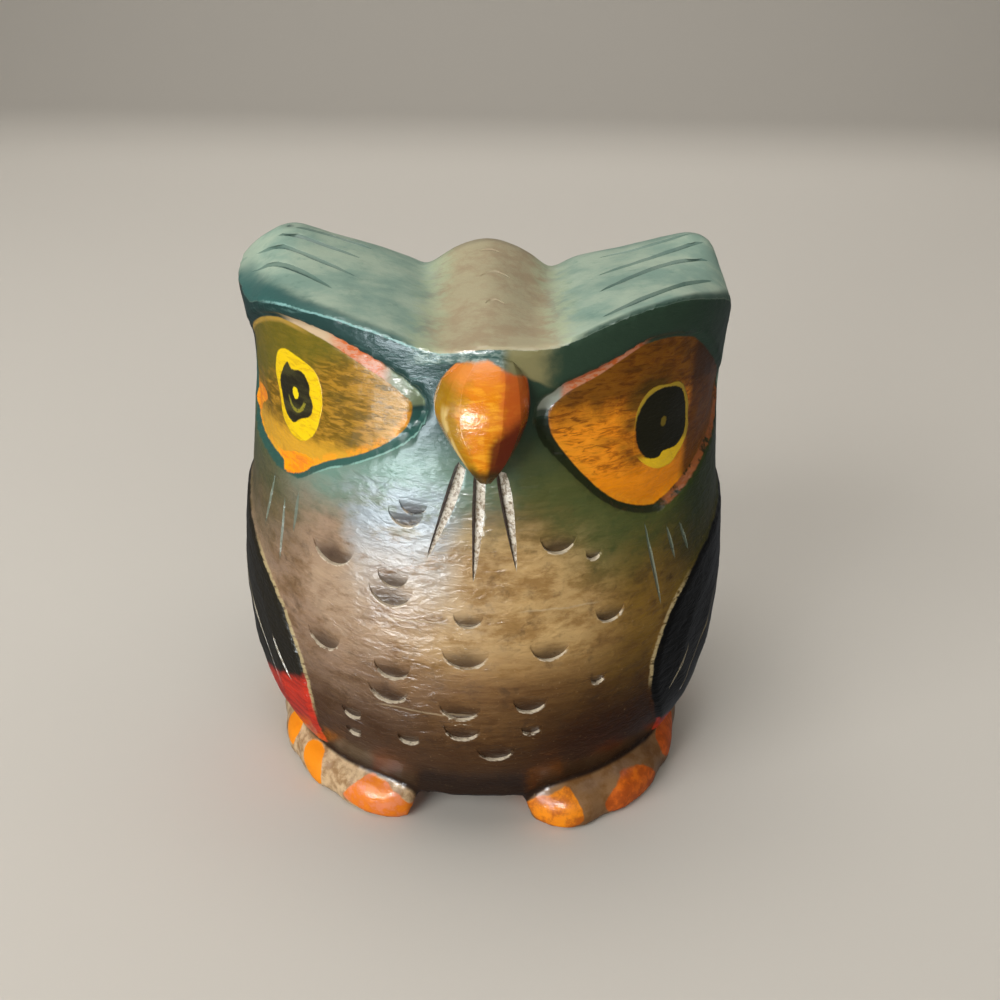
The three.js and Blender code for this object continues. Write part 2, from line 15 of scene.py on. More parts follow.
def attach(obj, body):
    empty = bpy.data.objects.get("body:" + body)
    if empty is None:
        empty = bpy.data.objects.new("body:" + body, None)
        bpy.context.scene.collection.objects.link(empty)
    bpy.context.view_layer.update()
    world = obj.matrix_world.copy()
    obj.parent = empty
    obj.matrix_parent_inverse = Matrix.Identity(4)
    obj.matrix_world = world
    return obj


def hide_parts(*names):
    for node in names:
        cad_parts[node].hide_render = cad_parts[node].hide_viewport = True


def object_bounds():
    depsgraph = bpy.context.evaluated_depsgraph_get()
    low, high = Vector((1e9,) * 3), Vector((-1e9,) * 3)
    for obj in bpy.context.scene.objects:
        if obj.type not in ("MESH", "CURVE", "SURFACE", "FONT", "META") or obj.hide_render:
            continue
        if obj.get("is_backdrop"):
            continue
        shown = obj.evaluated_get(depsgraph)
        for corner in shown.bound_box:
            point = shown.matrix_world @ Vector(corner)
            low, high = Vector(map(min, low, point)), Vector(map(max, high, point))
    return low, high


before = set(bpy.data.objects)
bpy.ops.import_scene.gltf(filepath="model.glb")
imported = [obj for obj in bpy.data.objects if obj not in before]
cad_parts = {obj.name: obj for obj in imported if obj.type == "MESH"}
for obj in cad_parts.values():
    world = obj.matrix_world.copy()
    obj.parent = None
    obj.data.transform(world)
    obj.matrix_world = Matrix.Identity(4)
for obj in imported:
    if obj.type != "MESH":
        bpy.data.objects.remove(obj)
cad_low, cad_high = [[float(value) for value in corner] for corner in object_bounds()]
print("solid's box in metres:", cad_low, cad_high)

# %% [markdown]
# The work is done in millimetres, as on the bench, and brought to metres at the end.
# A place on the round body is given by its azimuth in degrees (0 is the beak, minus is
# the viewer's left) and its height. Tables of such places are drawn out as smooth
# curves, so a few measured points are enough for a whole outline.

# %% Places and curves
MM = 0.001


def on_body(azimuth, height, radius):
    angle = np.radians(azimuth)
    return np.stack(np.broadcast_arrays(
        radius * np.sin(angle), -radius * np.cos(angle), height), axis=-1).astype(float)


def drawn_out(points, count, closed=False, tension=0.5):
    """Smooth curve through the points, as count + 1 points, or count if it closes."""
    points = np.array(points, float)
    last = len(points) if closed else len(points) - 1
    place = np.linspace(0, last, count + 1)[:count if closed else None]
    span = np.minimum(place.astype(int), last - 1)
    share = (place - span)[:, None]
    pick = (lambda i: points[i % len(points)]) if closed else (
        lambda i: points[np.clip(i, 0, last)])
    before, start, end, after = (pick(span + step) for step in (-1, 0, 1, 2))
    leave = tension * (end - before)
    arrive = tension * (after - start)
    return ((2 * start - 2 * end + leave + arrive) * share ** 3
            + (3 * end - 3 * start - 2 * leave - arrive) * share ** 2
            + leave * share + start)


def read_off(table, at):
    return np.interp(at, table[:, 0], table[:, 1])


def clear_selection():
    if bpy.context.object and bpy.context.object.mode != "OBJECT":
        bpy.ops.object.mode_set(mode="OBJECT")
    bpy.ops.object.select_all(action="DESELECT")


# %% [markdown]
# Nearly every part of the owl can be cut from a stack of outlines: a disc is added and
# extruded ring by ring in edit mode, and each new ring is drawn to its outline. It is
# what a carver does who draws the section at several heights and joins them. Lofting a
# curve would do it too, but a stack keeps the rings where they were measured.

# %% Stack of outlines
def stack_of_outlines(name, outlines):
    clear_selection()
    count = len(outlines[0])
    bpy.ops.mesh.primitive_circle_add(vertices=count, radius=1, fill_type="NGON")
    piece = bpy.context.object
    piece.name = name
    bpy.ops.object.mode_set(mode="EDIT")
    mesh = bmesh.from_edit_mesh(piece.data)
    mesh.verts.ensure_lookup_table()
    ring = list(range(count))
    for corner, place in zip(ring, outlines[0]):
        mesh.verts[corner].co = place
    for outline in outlines[1:]:
        bpy.ops.mesh.extrude_region_move()
        mesh = bmesh.from_edit_mesh(piece.data)
        mesh.verts.ensure_lookup_table()
        raised = []
        for corner in ring:
            old = mesh.verts[corner]
            new = [edge.other_vert(old) for edge in old.link_edges]
            raised.append(next(vert.index for vert in new if vert.select))
        ring = raised
        for corner, place in zip(ring, outline):
            mesh.verts[corner].co = place
    bpy.ops.mesh.select_all(action="SELECT")
    bpy.ops.mesh.normals_make_consistent(inside=False)
    bpy.ops.object.mode_set(mode="OBJECT")
    return piece


def shrunk(outline, middle, share):
    return middle + (np.asarray(outline) - middle) * share


# %% [markdown]
# The blank is a barrel turned on a lathe, widest a third of the way up. On a lathe the
# radius is read off a template; here it is read off a table of radius and height.

# %% Turned blank
BLANK_PROFILE = [
    (34.5, 0), (36.0, 3), (36.9, 5.5), (37.7, 8), (38.8, 10.7), (40.3, 14), (41.5, 18.5),
    (42.2, 25), (42.4, 32), (42.1, 39), (41.3, 46), (40.5, 52), (39.8, 58), (39.1, 65),
    (39.0, 72), (39.2, 78), (40.0, 84), (40.2, 90), (40.0, 97),
]
BLANK_SIDES = 120
BLANK_RINGS = 60
BLANK_TOP = 96.5
template = drawn_out(BLANK_PROFILE, 72)[:, ::-1]


def blank_radius(height):
    return read_off(template, height)


all_round = np.linspace(-180, 180, BLANK_SIDES, endpoint=False)
owl = stack_of_outlines("carved_owl_body", [
    on_body(all_round, height, blank_radius(height))
    for height in np.linspace(0, BLANK_TOP, BLANK_RINGS)])
print("blank:", len(owl.data.polygons), "faces")

# %% [markdown]
# The head top is one slanting surface: high along the crest that joins the ear tufts
# over the crown, lower along the brow. It is sawn and rasped away from above. The height
# of the surface is a function of the plan position, so a grid can be bent to it and the
# paint can be measured from it later.

# %% Head top surface
HEAD_CREST = [
    (-48, 76), (-43, 81.0), (-41.2, 84.3), (-39.8, 86.5), (-37.5, 88.6), (-34.6, 90.3),
    (-32.1, 91.0), (-28.1, 89.9), (-24.2, 88.8), (-20.1, 87.8), (-16.1, 86.6),
    (-12.9, 85.5), (-10.4, 84.6), (-8, 85.9), (-5.5, 87.4), (-2.8, 88.5), (0.2, 89.0),
    (3.1, 88.4), (5.9, 87.2), (8.4, 85.6), (10.6, 84.3), (14.1, 86.0), (18.1, 87.1),
    (22.1, 88.0), (26.1, 89.0), (30, 90.0), (32.8, 90.6), (35.0, 90.2), (36.4, 88.9),
    (37.2, 86.5), (37.7, 81), (38.2, 74), (38.9, 68), (40, 63), (43, 57), (48, 50),
]
BROW_EDGE = [
    (-48, 80), (-36.5, 83.4), (-33.3, 84.8), (-29.6, 85.7), (-25.7, 85.8), (-21.1, 85.7),
    (-17.6, 85.1), (-14.1, 84.5), (-10, 83.3), (-6.1, 82.4), (0, 83.3), (7.6, 83.2),
    (11.5, 84.3), (14.7, 85.6), (18.8, 86.9), (23.1, 87.6), (27.8, 87.7), (33.2, 86.4),
    (35.4, 85.4), (36.9, 82.6), (37.0, 78), (37.3, 72), (38.3, 66), (41, 60), (48, 50),
]
CROWN_PINCH = 5.0
CROWN_HALF = 5.5
CROWN_FADE = 20.0
CREST_ROUND = 10.0
BACK_DROP = 0.4
BACK_CURVE = 90.0
FACE_REACH = 39.5
LEAST_REACH = 18.0
BROW_BEYOND = 1.25
crest = drawn_out(HEAD_CREST, 96)
brow = drawn_out(BROW_EDGE, 72)


def top_height(x, y):
    gentle = np.clip(y, 0, CREST_ROUND) ** 2 * BACK_DROP / (2 * CREST_ROUND)
    beyond = np.maximum(0, y - CREST_ROUND)
    behind = read_off(crest, x) - gentle - BACK_DROP * beyond - beyond ** 2 / BACK_CURVE
    reach = np.sqrt(np.maximum(LEAST_REACH ** 2, FACE_REACH ** 2 - x * x))
    share = np.clip(-y / reach, 0, BROW_BEYOND)
    inner = np.minimum(1, np.abs(x) / CROWN_HALF)
    outer = np.maximum(0, 1 - np.maximum(0, np.abs(x) - CROWN_HALF) / CROWN_FADE)
    shifted = x + np.sign(x) * CROWN_PINCH * share * inner * outer
    ahead = read_off(crest, shifted) * (1 - share) + read_off(brow, x) * share
    return np.where(y > 0, behind, ahead)


print("crown and left tuft stand at", top_height(0, 0).round(1), top_height(-32, 0).round(1))

# %% [markdown]
# The part above that surface is the offcut. Carving with a Boolean is taking one mesh
# off another, or joining it on, so one small helper does both for every cut that follows.

# %% Cut the head top
HALF_GRID = 47
GRID_ROWS = 60
OFFCUT_TALL = 60
clear_selection()
bpy.ops.mesh.primitive_grid_add(x_subdivisions=2 * HALF_GRID, y_subdivisions=GRID_ROWS,
                                size=2 * HALF_GRID)
offcut = bpy.context.object
corners = np.empty(len(offcut.data.vertices) * 3)
offcut.data.vertices.foreach_get("co", corners)
corners = corners.reshape(-1, 3)
corners[:, 2] = top_height(corners[:, 0], corners[:, 1])
offcut.data.vertices.foreach_set("co", corners.ravel())
offcut.data.update()
bpy.ops.object.mode_set(mode="EDIT")
bpy.ops.mesh.select_all(action="SELECT")
bpy.ops.mesh.extrude_region_move(TRANSFORM_OT_translate={"value": (0, 0, OFFCUT_TALL)})
bpy.ops.mesh.select_all(action="SELECT")
bpy.ops.mesh.normals_make_consistent(inside=False)
bpy.ops.object.mode_set(mode="OBJECT")


def carve(body, tool, way="DIFFERENCE"):
    """Takes the tool's shape off the body, or joins it on, and puts the tool away."""
    clear_selection()
    body.select_set(True)
    bpy.context.view_layer.objects.active = body
    step = body.modifiers.new("carve", "BOOLEAN")
    step.operation = way
    step.solver = "MANIFOLD"
    step.material_mode = "TRANSFER"
    step.object = tool
    bpy.ops.object.modifier_apply(modifier=step.name)
    bpy.data.objects.remove(tool)


carve(owl, offcut)
print("head top cut:", len(owl.data.polygons), "faces")

# %% [markdown]
# Each eye lies in a flat hollow whose edge was cut with a slanting stroke, deep beside
# the beak and shallow at the side of the head. The outline of the flat patch is a table
# of azimuth and height with the width and depth of that stroke at each corner.

# %% Outlines of the eye patches
EYE_FLOOR = 38.3
LEFT_EYE = [
    (-15.2, 74.4, 2.6, 2.4), (-20, 76.8, 2.5, 2.4), (-27.2, 79.1, 2.4, 2.3),
    (-34.8, 81.0, 2.1, 2.0), (-43.2, 82.1, 1.4, 1.7), (-50, 82.4, 1.0, 1.5),
    (-58, 81.4, 0.8, 1.4), (-68, 79.0, 0.8, 1.2), (-78, 76.0, 0.8, 1.0),
    (-84, 72.4, 0.8, 0.9), (-83, 67.4, 0.8, 0.9), (-75.5, 63.0, 0.8, 0.9),
    (-67, 61.2, 0.9, 0.9), (-60, 60.4, 1.0, 0.9), (-52.5, 59.7, 1.0, 1.0),
    (-45.5, 59.9, 1.0, 1.1), (-40.5, 61.7, 0.9, 1.2), (-35.5, 63.5, 0.9, 1.3),
    (-30.4, 64.8, 0.9, 1.4), (-25.4, 66.4, 0.9, 1.5), (-20.4, 68.4, 1.1, 1.7),
    (-16.4, 71.0, 1.7, 2.1),
]
RIGHT_EYE = [
    (12.9, 74.0, 2.1, 2.4), (17.3, 76.5, 1.7, 2.3), (22.5, 78.0, 1.5, 2.2),
    (28.2, 79.8, 1.4, 2.0), (33.8, 81.5, 1.2, 1.8), (41.0, 81.9, 0.9, 1.6),
    (50.0, 80.8, 0.8, 1.5), (58.5, 77.5, 0.8, 1.4), (66, 74.4, 0.8, 1.2),
    (74, 71.4, 0.8, 1.0), (80, 68.6, 0.8, 0.9), (79, 65.6, 0.8, 0.9),
    (70.5, 63.2, 0.8, 0.9), (61.5, 61.2, 0.8, 0.9), (54, 59.1, 0.8, 0.9),
    (47, 57.4, 0.8, 0.9), (41.2, 56.4, 0.8, 0.9), (35.7, 57.2, 0.8, 1.0),
    (30.2, 58.8, 0.9, 1.1), (25.4, 61.2, 1.0, 1.2), (21.0, 64.2, 1.1, 1.3),
    (17.2, 67.2, 1.3, 1.7), (13.7, 70.6, 1.8, 2.1),
]
EYE_CORNERS = 72
EYE_MM = np.radians(EYE_FLOOR)
PAST_THE_SKIN = 52


def eye_outline(table):
    """Azimuth, height, stroke width and stroke depth round a patch."""
    return drawn_out(table, EYE_CORNERS, closed=True, tension=0.3)


print("corners drawn round each patch:", len(eye_outline(LEFT_EYE)), len(eye_outline(RIGHT_EYE)))

# %% [markdown]
# The tool for a hollow starts outside the skin, narrows through the slanting stroke to
# the patch, and closes on the floor in a few smaller and smaller rings.

# %% Cut the eye hollows
def eye_hollow(table):
    round_patch = eye_outline(table)
    patch = round_patch[:, :2]
    middle = patch.mean(0)
    run = (np.roll(patch, -1, 0) - np.roll(patch, 1, 0)) * (EYE_MM, 1)
    out = np.stack([run[:, 1], -run[:, 0]], 1) / np.linalg.norm(run, axis=1)[:, None]
    away = (patch - middle) * (EYE_MM, 1)
    out *= np.sign((out * away).sum(1))[:, None]
    rim = patch + out * round_patch[:, 2:3] / (EYE_MM, 1)
    mouth = blank_radius(rim[:, 1]) - round_patch[:, 3]
    outlines = [on_body(rim[:, 0], rim[:, 1], reach) for reach in (PAST_THE_SKIN, mouth)]
    for share in (1, 0.7, 0.4, 0.02):
        inner = shrunk(patch, middle, share)
        outlines.append(on_body(inner[:, 0], inner[:, 1], EYE_FLOOR))
    return stack_of_outlines("eye_hollow_cut", outlines)


for table in (LEFT_EYE, RIGHT_EYE):
    carve(owl, eye_hollow(table))
print("eye hollows cut:", len(owl.data.polygons), "faces")

# %% [markdown]
# The folded wings stand a little proud of the body with an eased edge. The outline is
# laid round the barrel, so the wing follows its curve.

# %% Wings
LEFT_WING_FRONT = [
    (44.5, 7.8), (42.2, 11.6), (41.1, 15.6), (41.0, 19.4), (41.2, 23.2), (42.1, 26.9),
    (43.9, 30.6), (46.3, 33.9), (49.1, 36.8), (52.7, 39.3), (61.1, 43.1), (69, 46.0),
]
RIGHT_WING_FRONT = [
    (54, 8.0), (48.5, 13.2), (44, 18.6), (41.3, 22.6), (40.0, 26.1), (39.7, 29.7),
    (40.4, 32.5), (41.8, 35.2), (44.2, 38.1), (47.8, 40.9), (55, 44.2), (67, 47.2),
]
WING_REST = [
    (79, 49.2), (90, 50.6), (101, 50.2), (112, 48.2), (122, 44.8), (129, 40.2),
    (131.5, 34.6), (129, 28.8), (121, 23.2), (109, 18.4), (95, 14.6), (81, 11.4),
    (68, 8.8), (58, 7.2),
]
WING_PROUD = 0.8
WING_CORNERS = 90
WING_RINGS = [(1, -3), (1, 0.1), (0.975, WING_PROUD), (0.7, WING_PROUD),
              (0.35, WING_PROUD), (0.02, WING_PROUD)]


def wing_outline(side):
    front = LEFT_WING_FRONT if side < 0 else RIGHT_WING_FRONT
    outline = drawn_out(front + WING_REST, WING_CORNERS, closed=True, tension=0.4)
    return outline * (side, 1)


def wing(side):
    outline = wing_outline(side)
    middle = outline.mean(0)
    outlines = []
    for share, proud in WING_RINGS:
        ring = shrunk(outline, middle, share)
        outlines.append(on_body(ring[:, 0], ring[:, 1], blank_radius(ring[:, 1]) + proud))
    return stack_of_outlines("wing", outlines)


for side in (-1, 1):
    carve(owl, wing(side), "UNION")
print("wings standing:", len(owl.data.polygons), "faces")

# %% [markdown]
# The feet are one low skirt round the foot of the barrel, notched between the toes. A
# table gives how far the skirt reaches at each azimuth, and a short one its rounded rim.

# %% Feet
FOOT_REACH = np.array([
    (-180, 38.6), (-110, 38.3), (-88, 38.3), (-76, 38.8), (-71, 38.6), (-65, 39.7),
    (-59, 40.3), (-55.5, 39.8), (-50, 40.5), (-44, 40.9), (-39, 40.3), (-34, 40.9),
    (-27, 40.9), (-21.5, 40.0), (-18, 38.6), (-16.2, 36.6), (-14.6, 33), (9.6, 33),
    (11.6, 35.4), (14, 37.6), (17.5, 40.4), (21.5, 41.9), (26, 42.3), (31, 41.6),
    (36, 42.4), (42, 42.2), (48, 41.6), (53, 40.5), (58, 40.6), (63, 39.9), (69, 38.9),
    (75, 38.9), (86, 38.3), (110, 38.3), (180, 38.6),
])
FOOT_SKIRT = [(0, 0.6), (1.0, 0.1), (3.6, 0.2), (5.6, 1.5), (7.2, 4.4)]
foot_round = np.linspace(-180, 180, 180, endpoint=False)
foot_rings = []
for height, inset in drawn_out(FOOT_SKIRT, 12):
    foot_rings.append(on_body(foot_round, height, read_off(FOOT_REACH, foot_round) - inset))
carve(owl, stack_of_outlines("feet", foot_rings), "UNION")
print("feet standing:", len(owl.data.polygons), "faces")

# %% [markdown]
# The tail is a short wedge at the back. Each row gives a height, half the width there
# and how far back it reaches. The arch is one straight push through the skirt in front.

# %% Tail and arch
TAIL = [
    (0, 10.2, 41.4), (3, 10.2, 42.0), (9, 9.4, 43.0), (16, 8.2, 43.6), (24, 6.2, 43.2),
    (29, 3.0, 42.2), (31, 0.6, 40.5),
]
TAIL_ROOT = 30.0


def tail_section(height, half, reach):
    across = np.array([-1, -1, -0.55, 0, 0.55, 1, 1]) * half
    back = [TAIL_ROOT, reach - 2.2, reach - 0.3, reach, reach - 0.3, reach - 2.2, TAIL_ROOT]
    return np.stack([across, back, np.full(7, height)], 1)


carve(owl, stack_of_outlines("tail", [tail_section(*row) for row in TAIL]), "UNION")

ARCH_MIDDLE = -1.3
ARCH_DEEP_END = -8
ARCH_FRONT_END = -52
ARCH_SECTION = [(-12.4, -1), (-10.6, 0), (-9, 3.5), (-8.5, 4.5), (-6.1, 4.9),
                (6.1, 4.9), (8.5, 4.5), (9, 3.5), (10.6, 0), (12.4, -1)]
arch_rings = [np.array([(ARCH_MIDDLE + x, y, z) for x, z in ARCH_SECTION])
              for y in (ARCH_DEEP_END, ARCH_FRONT_END)]
carve(owl, stack_of_outlines("arch", arch_rings))
print("tail on and arch cut:", len(owl.data.polygons), "faces")

# %% [markdown]
# Straight off the knife the edges are hard. Handling, sanding and thick varnish soften
# them. A voxel remesh gives the whole body one even skin, a short smoothing rounds its
# edges, and a weak cloud displacement leaves it as uneven as hand-worked wood. Crumbs
# that the remesh leaves loose are thrown away.

# %% Soften and make uneven
SKIN = 0.7
SOFTENING = 1
UNEVENNESS = 0.3
HAND_WORK = [(9.0, 0.6), (2.6, 0.4)]


def finish_modifier(piece, kind, **settings):
    clear_selection()
    piece.select_set(True)
    bpy.context.view_layer.objects.active = piece
    step = piece.modifiers.new(kind.lower(), kind)
    for name, setting in settings.items():
        setattr(step, name, setting)
    bpy.ops.object.modifier_apply(modifier=step.name)


finish_modifier(owl, "REMESH", mode="VOXEL", voxel_size=SKIN)
bpy.ops.object.mode_set(mode="EDIT")
bpy.ops.mesh.select_all(action="SELECT")
bpy.ops.mesh.separate(type="LOOSE")
bpy.ops.object.mode_set(mode="OBJECT")
crumbs = sorted(bpy.context.selected_objects, key=lambda piece: len(piece.data.vertices))
owl = crumbs.pop()
for crumb in crumbs:
    bpy.data.objects.remove(crumb)
finish_modifier(owl, "SMOOTH", factor=0.5, iterations=SOFTENING)
for size, share in HAND_WORK:
    hand = bpy.data.textures.new("hand_work", "CLOUDS")
    hand.noise_scale = size
    finish_modifier(owl, "DISPLACE", texture=hand, texture_coords="LOCAL",
                    strength=UNEVENNESS * share, mid_level=0.5)
owl.data.materials.clear()
owl.data.materials.append(bpy.data.materials.new("uncut_skin"))
print("even skin:", len(owl.data.polygons), "faces")

# %% [markdown]
# The beak was cut last and sharpest: a flat front with a bevel down each side, widest
# between the eyes and drawn in to a point. Each ring is its section seen from above,
# with its height, middle, half width, reach and flat share in the table. It is modelled
# apart so that it keeps its facets, and a narrow bevel eases its edges before it is
# joined on.

# %% Beak
BEAK = [
    (82.6, 0.6, 2.6, 38.6, 0.4), (81.2, 0.3, 3.9, 41.0, 0.5), (79.0, -0.2, 5.3, 43.2, 0.5),
    (76.6, -0.5, 6.0, 44.8, 0.46), (74.6, -0.5, 6.1, 45.6, 0.44),
    (72.2, -0.3, 5.2, 46.1, 0.42), (70.0, -0.1, 3.9, 46.0, 0.4), (68.0, 0.05, 2.5, 45.4, 0.38),
    (66.6, 0.1, 1.4, 44.5, 0.36), (65.6, 0.2, 0.7, 43.4, 0.36), (65.2, 0.2, 0.3, 42.0, 0.36),
]
BEAK_ROOT = 30.0
BEAK_BEVEL = 4.6
BEAK_EDGE = 0.35
BEAK_RINGS = 30


def beak_section(height, middle, half, reach, flat):
    bevel = min(BEAK_BEVEL, half * 0.9)
    across = np.array([-1, -1, -0.78, -flat, flat * 0.1, flat, 0.82, 1, 1])
    forward = np.array([BEAK_ROOT, reach - bevel, reach - bevel * 0.32, reach - 0.25, reach,
                        reach - 0.35, reach - bevel * 0.4, reach - bevel, BEAK_ROOT])
    return np.stack([middle + half * across, -forward, np.full(9, height)], 1)


beak_table = drawn_out(BEAK, BEAK_RINGS)
beak = stack_of_outlines("beak", [beak_section(*row) for row in beak_table])
finish_modifier(beak, "BEVEL", width=BEAK_EDGE, segments=3, limit_method="ANGLE",
                angle_limit=np.radians(14), harden_normals=False)
carve(owl, beak, "UNION")
print("beak joined:", len(owl.data.polygons), "faces")

# %% [markdown]
# Knife cuts come after the softening, so they stay crisp. A V-shaped cut is a thin
# three-sided stack along a path, thin at both ends. Every cut is kept under the name of
# its kind, and carries a material of that name, so its walls can be painted later.

# %% A knife cut
def knife_cut(name, path, outward, width, depth, lean=0.5, early=1.0):
    """lean: where the bottom lies between the edges. early under 1: widest near the start."""
    path = np.asarray(path, float)
    steps = max(6, int(np.linalg.norm(np.diff(path, axis=0), axis=1).sum() / 1.2))
    line = drawn_out(path, steps)
    run = np.gradient(line, axis=0)
    up = outward(line)
    side = np.cross(run, up)
    side /= np.linalg.norm(side, axis=1)[:, None]
    share = np.linspace(0, 1, steps + 1)
    size = np.maximum(0.03, np.sin(np.pi * share ** early) ** 0.55)[:, None]
    high = line + up * depth * 0.5
    spread = width * size * 1.25
    rings = np.stack([high + side * spread * lean, high - side * spread * (1 - lean),
                      line - up * depth * size], axis=1)
    return stack_of_outlines(name, list(rings))


def radial(line):
    flat = line * (1, 1, 0)
    return flat / np.linalg.norm(flat, axis=1)[:, None]


def upward(line):
    return np.tile((0.0, 0.0, 1.0), (len(line), 1))


def body_path(azimuths, heights, proud=0.0):
    return on_body(np.array(azimuths), np.array(heights),
                   blank_radius(np.array(heights)) + proud)


cuts = {}


def keep_cut(kind, tool):
    if kind not in bpy.data.materials:
        bpy.data.materials.new(kind)
    tool.data.materials.append(bpy.data.materials[kind])
    cuts.setdefault(kind, []).append(tool)


# %% [markdown]
# Three whiskers run down from the beak, and fine lines lie beside them on the cheeks.
# The whiskers were cut with one steep wall and one wide one, which shows as a dark line beside a
# pale stroke. The paint adds painted shade on the dark wall and a painted reflection on the pale
# one. Each row is a start and an end, in azimuth and height.

# %% Whiskers and cheek lines
WHISKERS = [(-5.0, 67.0, -11.4, 52.2), (-1.6, 66.0, -1.9, 49.0), (2.6, 66.0, 6.8, 50.6)]
CHEEK_LINES = [
    (-54.3, 57.8, -58.8, 47.6), (-49.6, 55.0, -50.6, 43.8), (-44.2, 57.0, -45.9, 49.7),
    (36.2, 55.0, 41.5, 39.9), (43.2, 53.1, 46.3, 46.5), (48.0, 52.4, 51.8, 46.5),
]
BLADES = [("whisker", WHISKERS, 2.2, 1.0, 0.25, 0.5),
          ("cheek_line", CHEEK_LINES, 0.9, 0.42, 0.5, 1)]
for kind, lines, width, depth, lean, early in BLADES:
    for az0, z0, az1, z1 in lines:
        azimuths = np.linspace(az0, az1, 4)
        path = body_path(azimuths, np.linspace(z0, z1, 4))
        keep_cut(kind, knife_cut(kind, path, radial, width, depth, lean, early))
print("whiskers and cheek lines:", len(WHISKERS), len(CHEEK_LINES))

# %% [markdown]
# The ear tufts were scored with slanting grooves and the crown with three short arcs.
# Their places are read on the plan, and the height comes from the head top surface.

# %% Ear grooves and crown arcs
EAR_GROOVES = [
    [(-31.5, -0.8), (-25.1, 0.6), (-18.6, -1.0)],
    [(-33.6, -3.3), (-29.2, -3.9), (-24.1, -5.4), (-19.7, -7.5)],
    [(-36.8, -5.6), (-31.5, -8.2), (-25.1, -12.2), (-19.3, -16.9)],
    [(-36.6, -10.8), (-31.8, -13.9), (-26.3, -18.5), (-21.9, -23.7)],
    [(33.5, 1.5), (24.7, -1.3), (17.5, -2.2)],
    [(34.3, -2.6), (25.1, -8.4), (16.4, -13.2)],
    [(33.8, -9.7), (25.6, -13.8), (15.8, -22.3)],
    [(32.9, -17.8), (25.8, -25.1), (18.4, -31.5), (15.2, -33.6)],
]
CROWN_ARCS = [
    [(-1.7, -4.4), (0, -3.9), (1.8, -4.4)],
    [(-1.5, -15.0), (1, -13.1), (3.6, -13.9)],
    [(-0.5, -25.4), (1, -23.8), (2.6, -24.8)],
]
SCORES = [("ear_groove", EAR_GROOVES, 1.7, 0.65), ("crown_arc", CROWN_ARCS, 0.7, 0.3)]
for kind, lines, width, depth in SCORES:
    for line in lines:
        plan = np.array(line)
        path = np.column_stack([plan, top_height(plan[:, 0], plan[:, 1])])
        keep_cut(kind, knife_cut(kind, path, upward, width, depth))
print("grooves and arcs:", len(EAR_GROOVES), len(CROWN_ARCS))

# %% [markdown]
# A few long lines on each wing stand for its feathers. Both wings have the same lines,
# turned over from one side to the other.

# %% Feather lines
FEATHER_WIDE = 1.1
FEATHER_DEEP = 0.6
WING_FEATHERS = [
    [(53.5, 29.5), (50.5, 25.5), (46.8, 21.6)],
    [(100, 44), (76, 36), (61, 27), (53, 18)],
    [(113, 38), (88, 29), (70, 20), (61, 13)],
    [(118, 31), (98, 23), (84, 16.5), (75, 13)],
]
for side in (-1, 1):
    for line in WING_FEATHERS:
        azimuths, heights = zip(*line)
        path = body_path(np.array(azimuths) * side, heights, WING_PROUD)
        tool = knife_cut("feather", path, radial, FEATHER_WIDE, FEATHER_DEEP)
        keep_cut("feather_line", tool)
print("knife cuts ready:", {kind: len(tools) for kind, tools in cuts.items()})

# %% [markdown]
# The breast feathers are single pushes of a round gouge, tilted so that it bites
# deepest at its lower edge. A cylinder leant out of the wood is that gouge: its side
# leaves the curved lower wall and its end leaves the sloping bed. Each row is an azimuth,
# the height of the lowest point and half the width; the back has three plain rows.

# %% Gouge cuts
SCALLOPS = [
    (-16.1, 56.4, 2.7), (-14.5, 58.3, 2.1), (-33.3, 47.8, 4.2), (-18.5, 46.7, 2.4),
    (-19.0, 43.7, 3.6), (-35.3, 32.8, 3.4), (-3.1, 34.9, 3.6), (14.0, 35.9, 3.1),
    (27.3, 40.5, 2.6), (15.5, 52.9, 2.8), (23.3, 51.1, 1.3), (-18.4, 31.4, 3.0),
    (-19.4, 26.8, 3.5), (-29.0, 20.9, 1.9), (-29.3, 16.9, 1.5), (-4.1, 25.3, 3.2),
    (-3.7, 21.2, 2.8), (10.4, 26.6, 2.7), (11.0, 22.0, 1.6), (3.6, 16.7, 3.0),
    (-15.4, 18.8, 1.8), (25.1, 29.9, 1.3), (-2.7, 41.7, 2.2),
]
SCALLOP_DEPTH = 0.6
SCALLOP_RAMP = 1.3
GOUGE_LENGTH = 4.0
GOUGE_SIDES = 40
BACK_ROWS = (2, 3, 2)
BACK_TOP = 53
BACK_DOWN = 9
BACK_TURN = 21
BACK_HALF = 3.4


def gouge_cut(azimuth, height, half):
    middle = height + half
    radius = float(blank_radius(middle))
    slope = float(blank_radius(middle + 1) - blank_radius(middle - 1)) / 2
    out = Vector(on_body(azimuth, -slope, 1)).normalized()
    down = -(Vector(on_body(azimuth, 0, slope)) + Vector((0, 0, 1))).normalized()
    axis = (out * SCALLOP_RAMP * half + down * SCALLOP_DEPTH).normalized()
    bite = SCALLOP_DEPTH * (1 - 1 / SCALLOP_RAMP)
    seat = Vector(on_body(azimuth, middle, radius)) - out * bite
    clear_selection()
    bpy.ops.mesh.primitive_cylinder_add(
        vertices=GOUGE_SIDES, radius=half, depth=GOUGE_LENGTH,
        location=seat + axis * GOUGE_LENGTH / 2,
        rotation=axis.to_track_quat("Z", "Y").to_euler())
    tool = bpy.context.object
    bpy.ops.object.transform_apply(location=True, rotation=True, scale=True)
    return tool


for azimuth, height, half in SCALLOPS:
    keep_cut("scallop", gouge_cut(azimuth, height, half))
for row, count in enumerate(BACK_ROWS):
    for place in range(count):
        azimuth = 180 + (place - (count - 1) / 2) * BACK_TURN
        keep_cut("scallop", gouge_cut(azimuth, BACK_TOP - BACK_DOWN * row, BACK_HALF))
print("gouge cuts ready:", len(cuts["scallop"]))

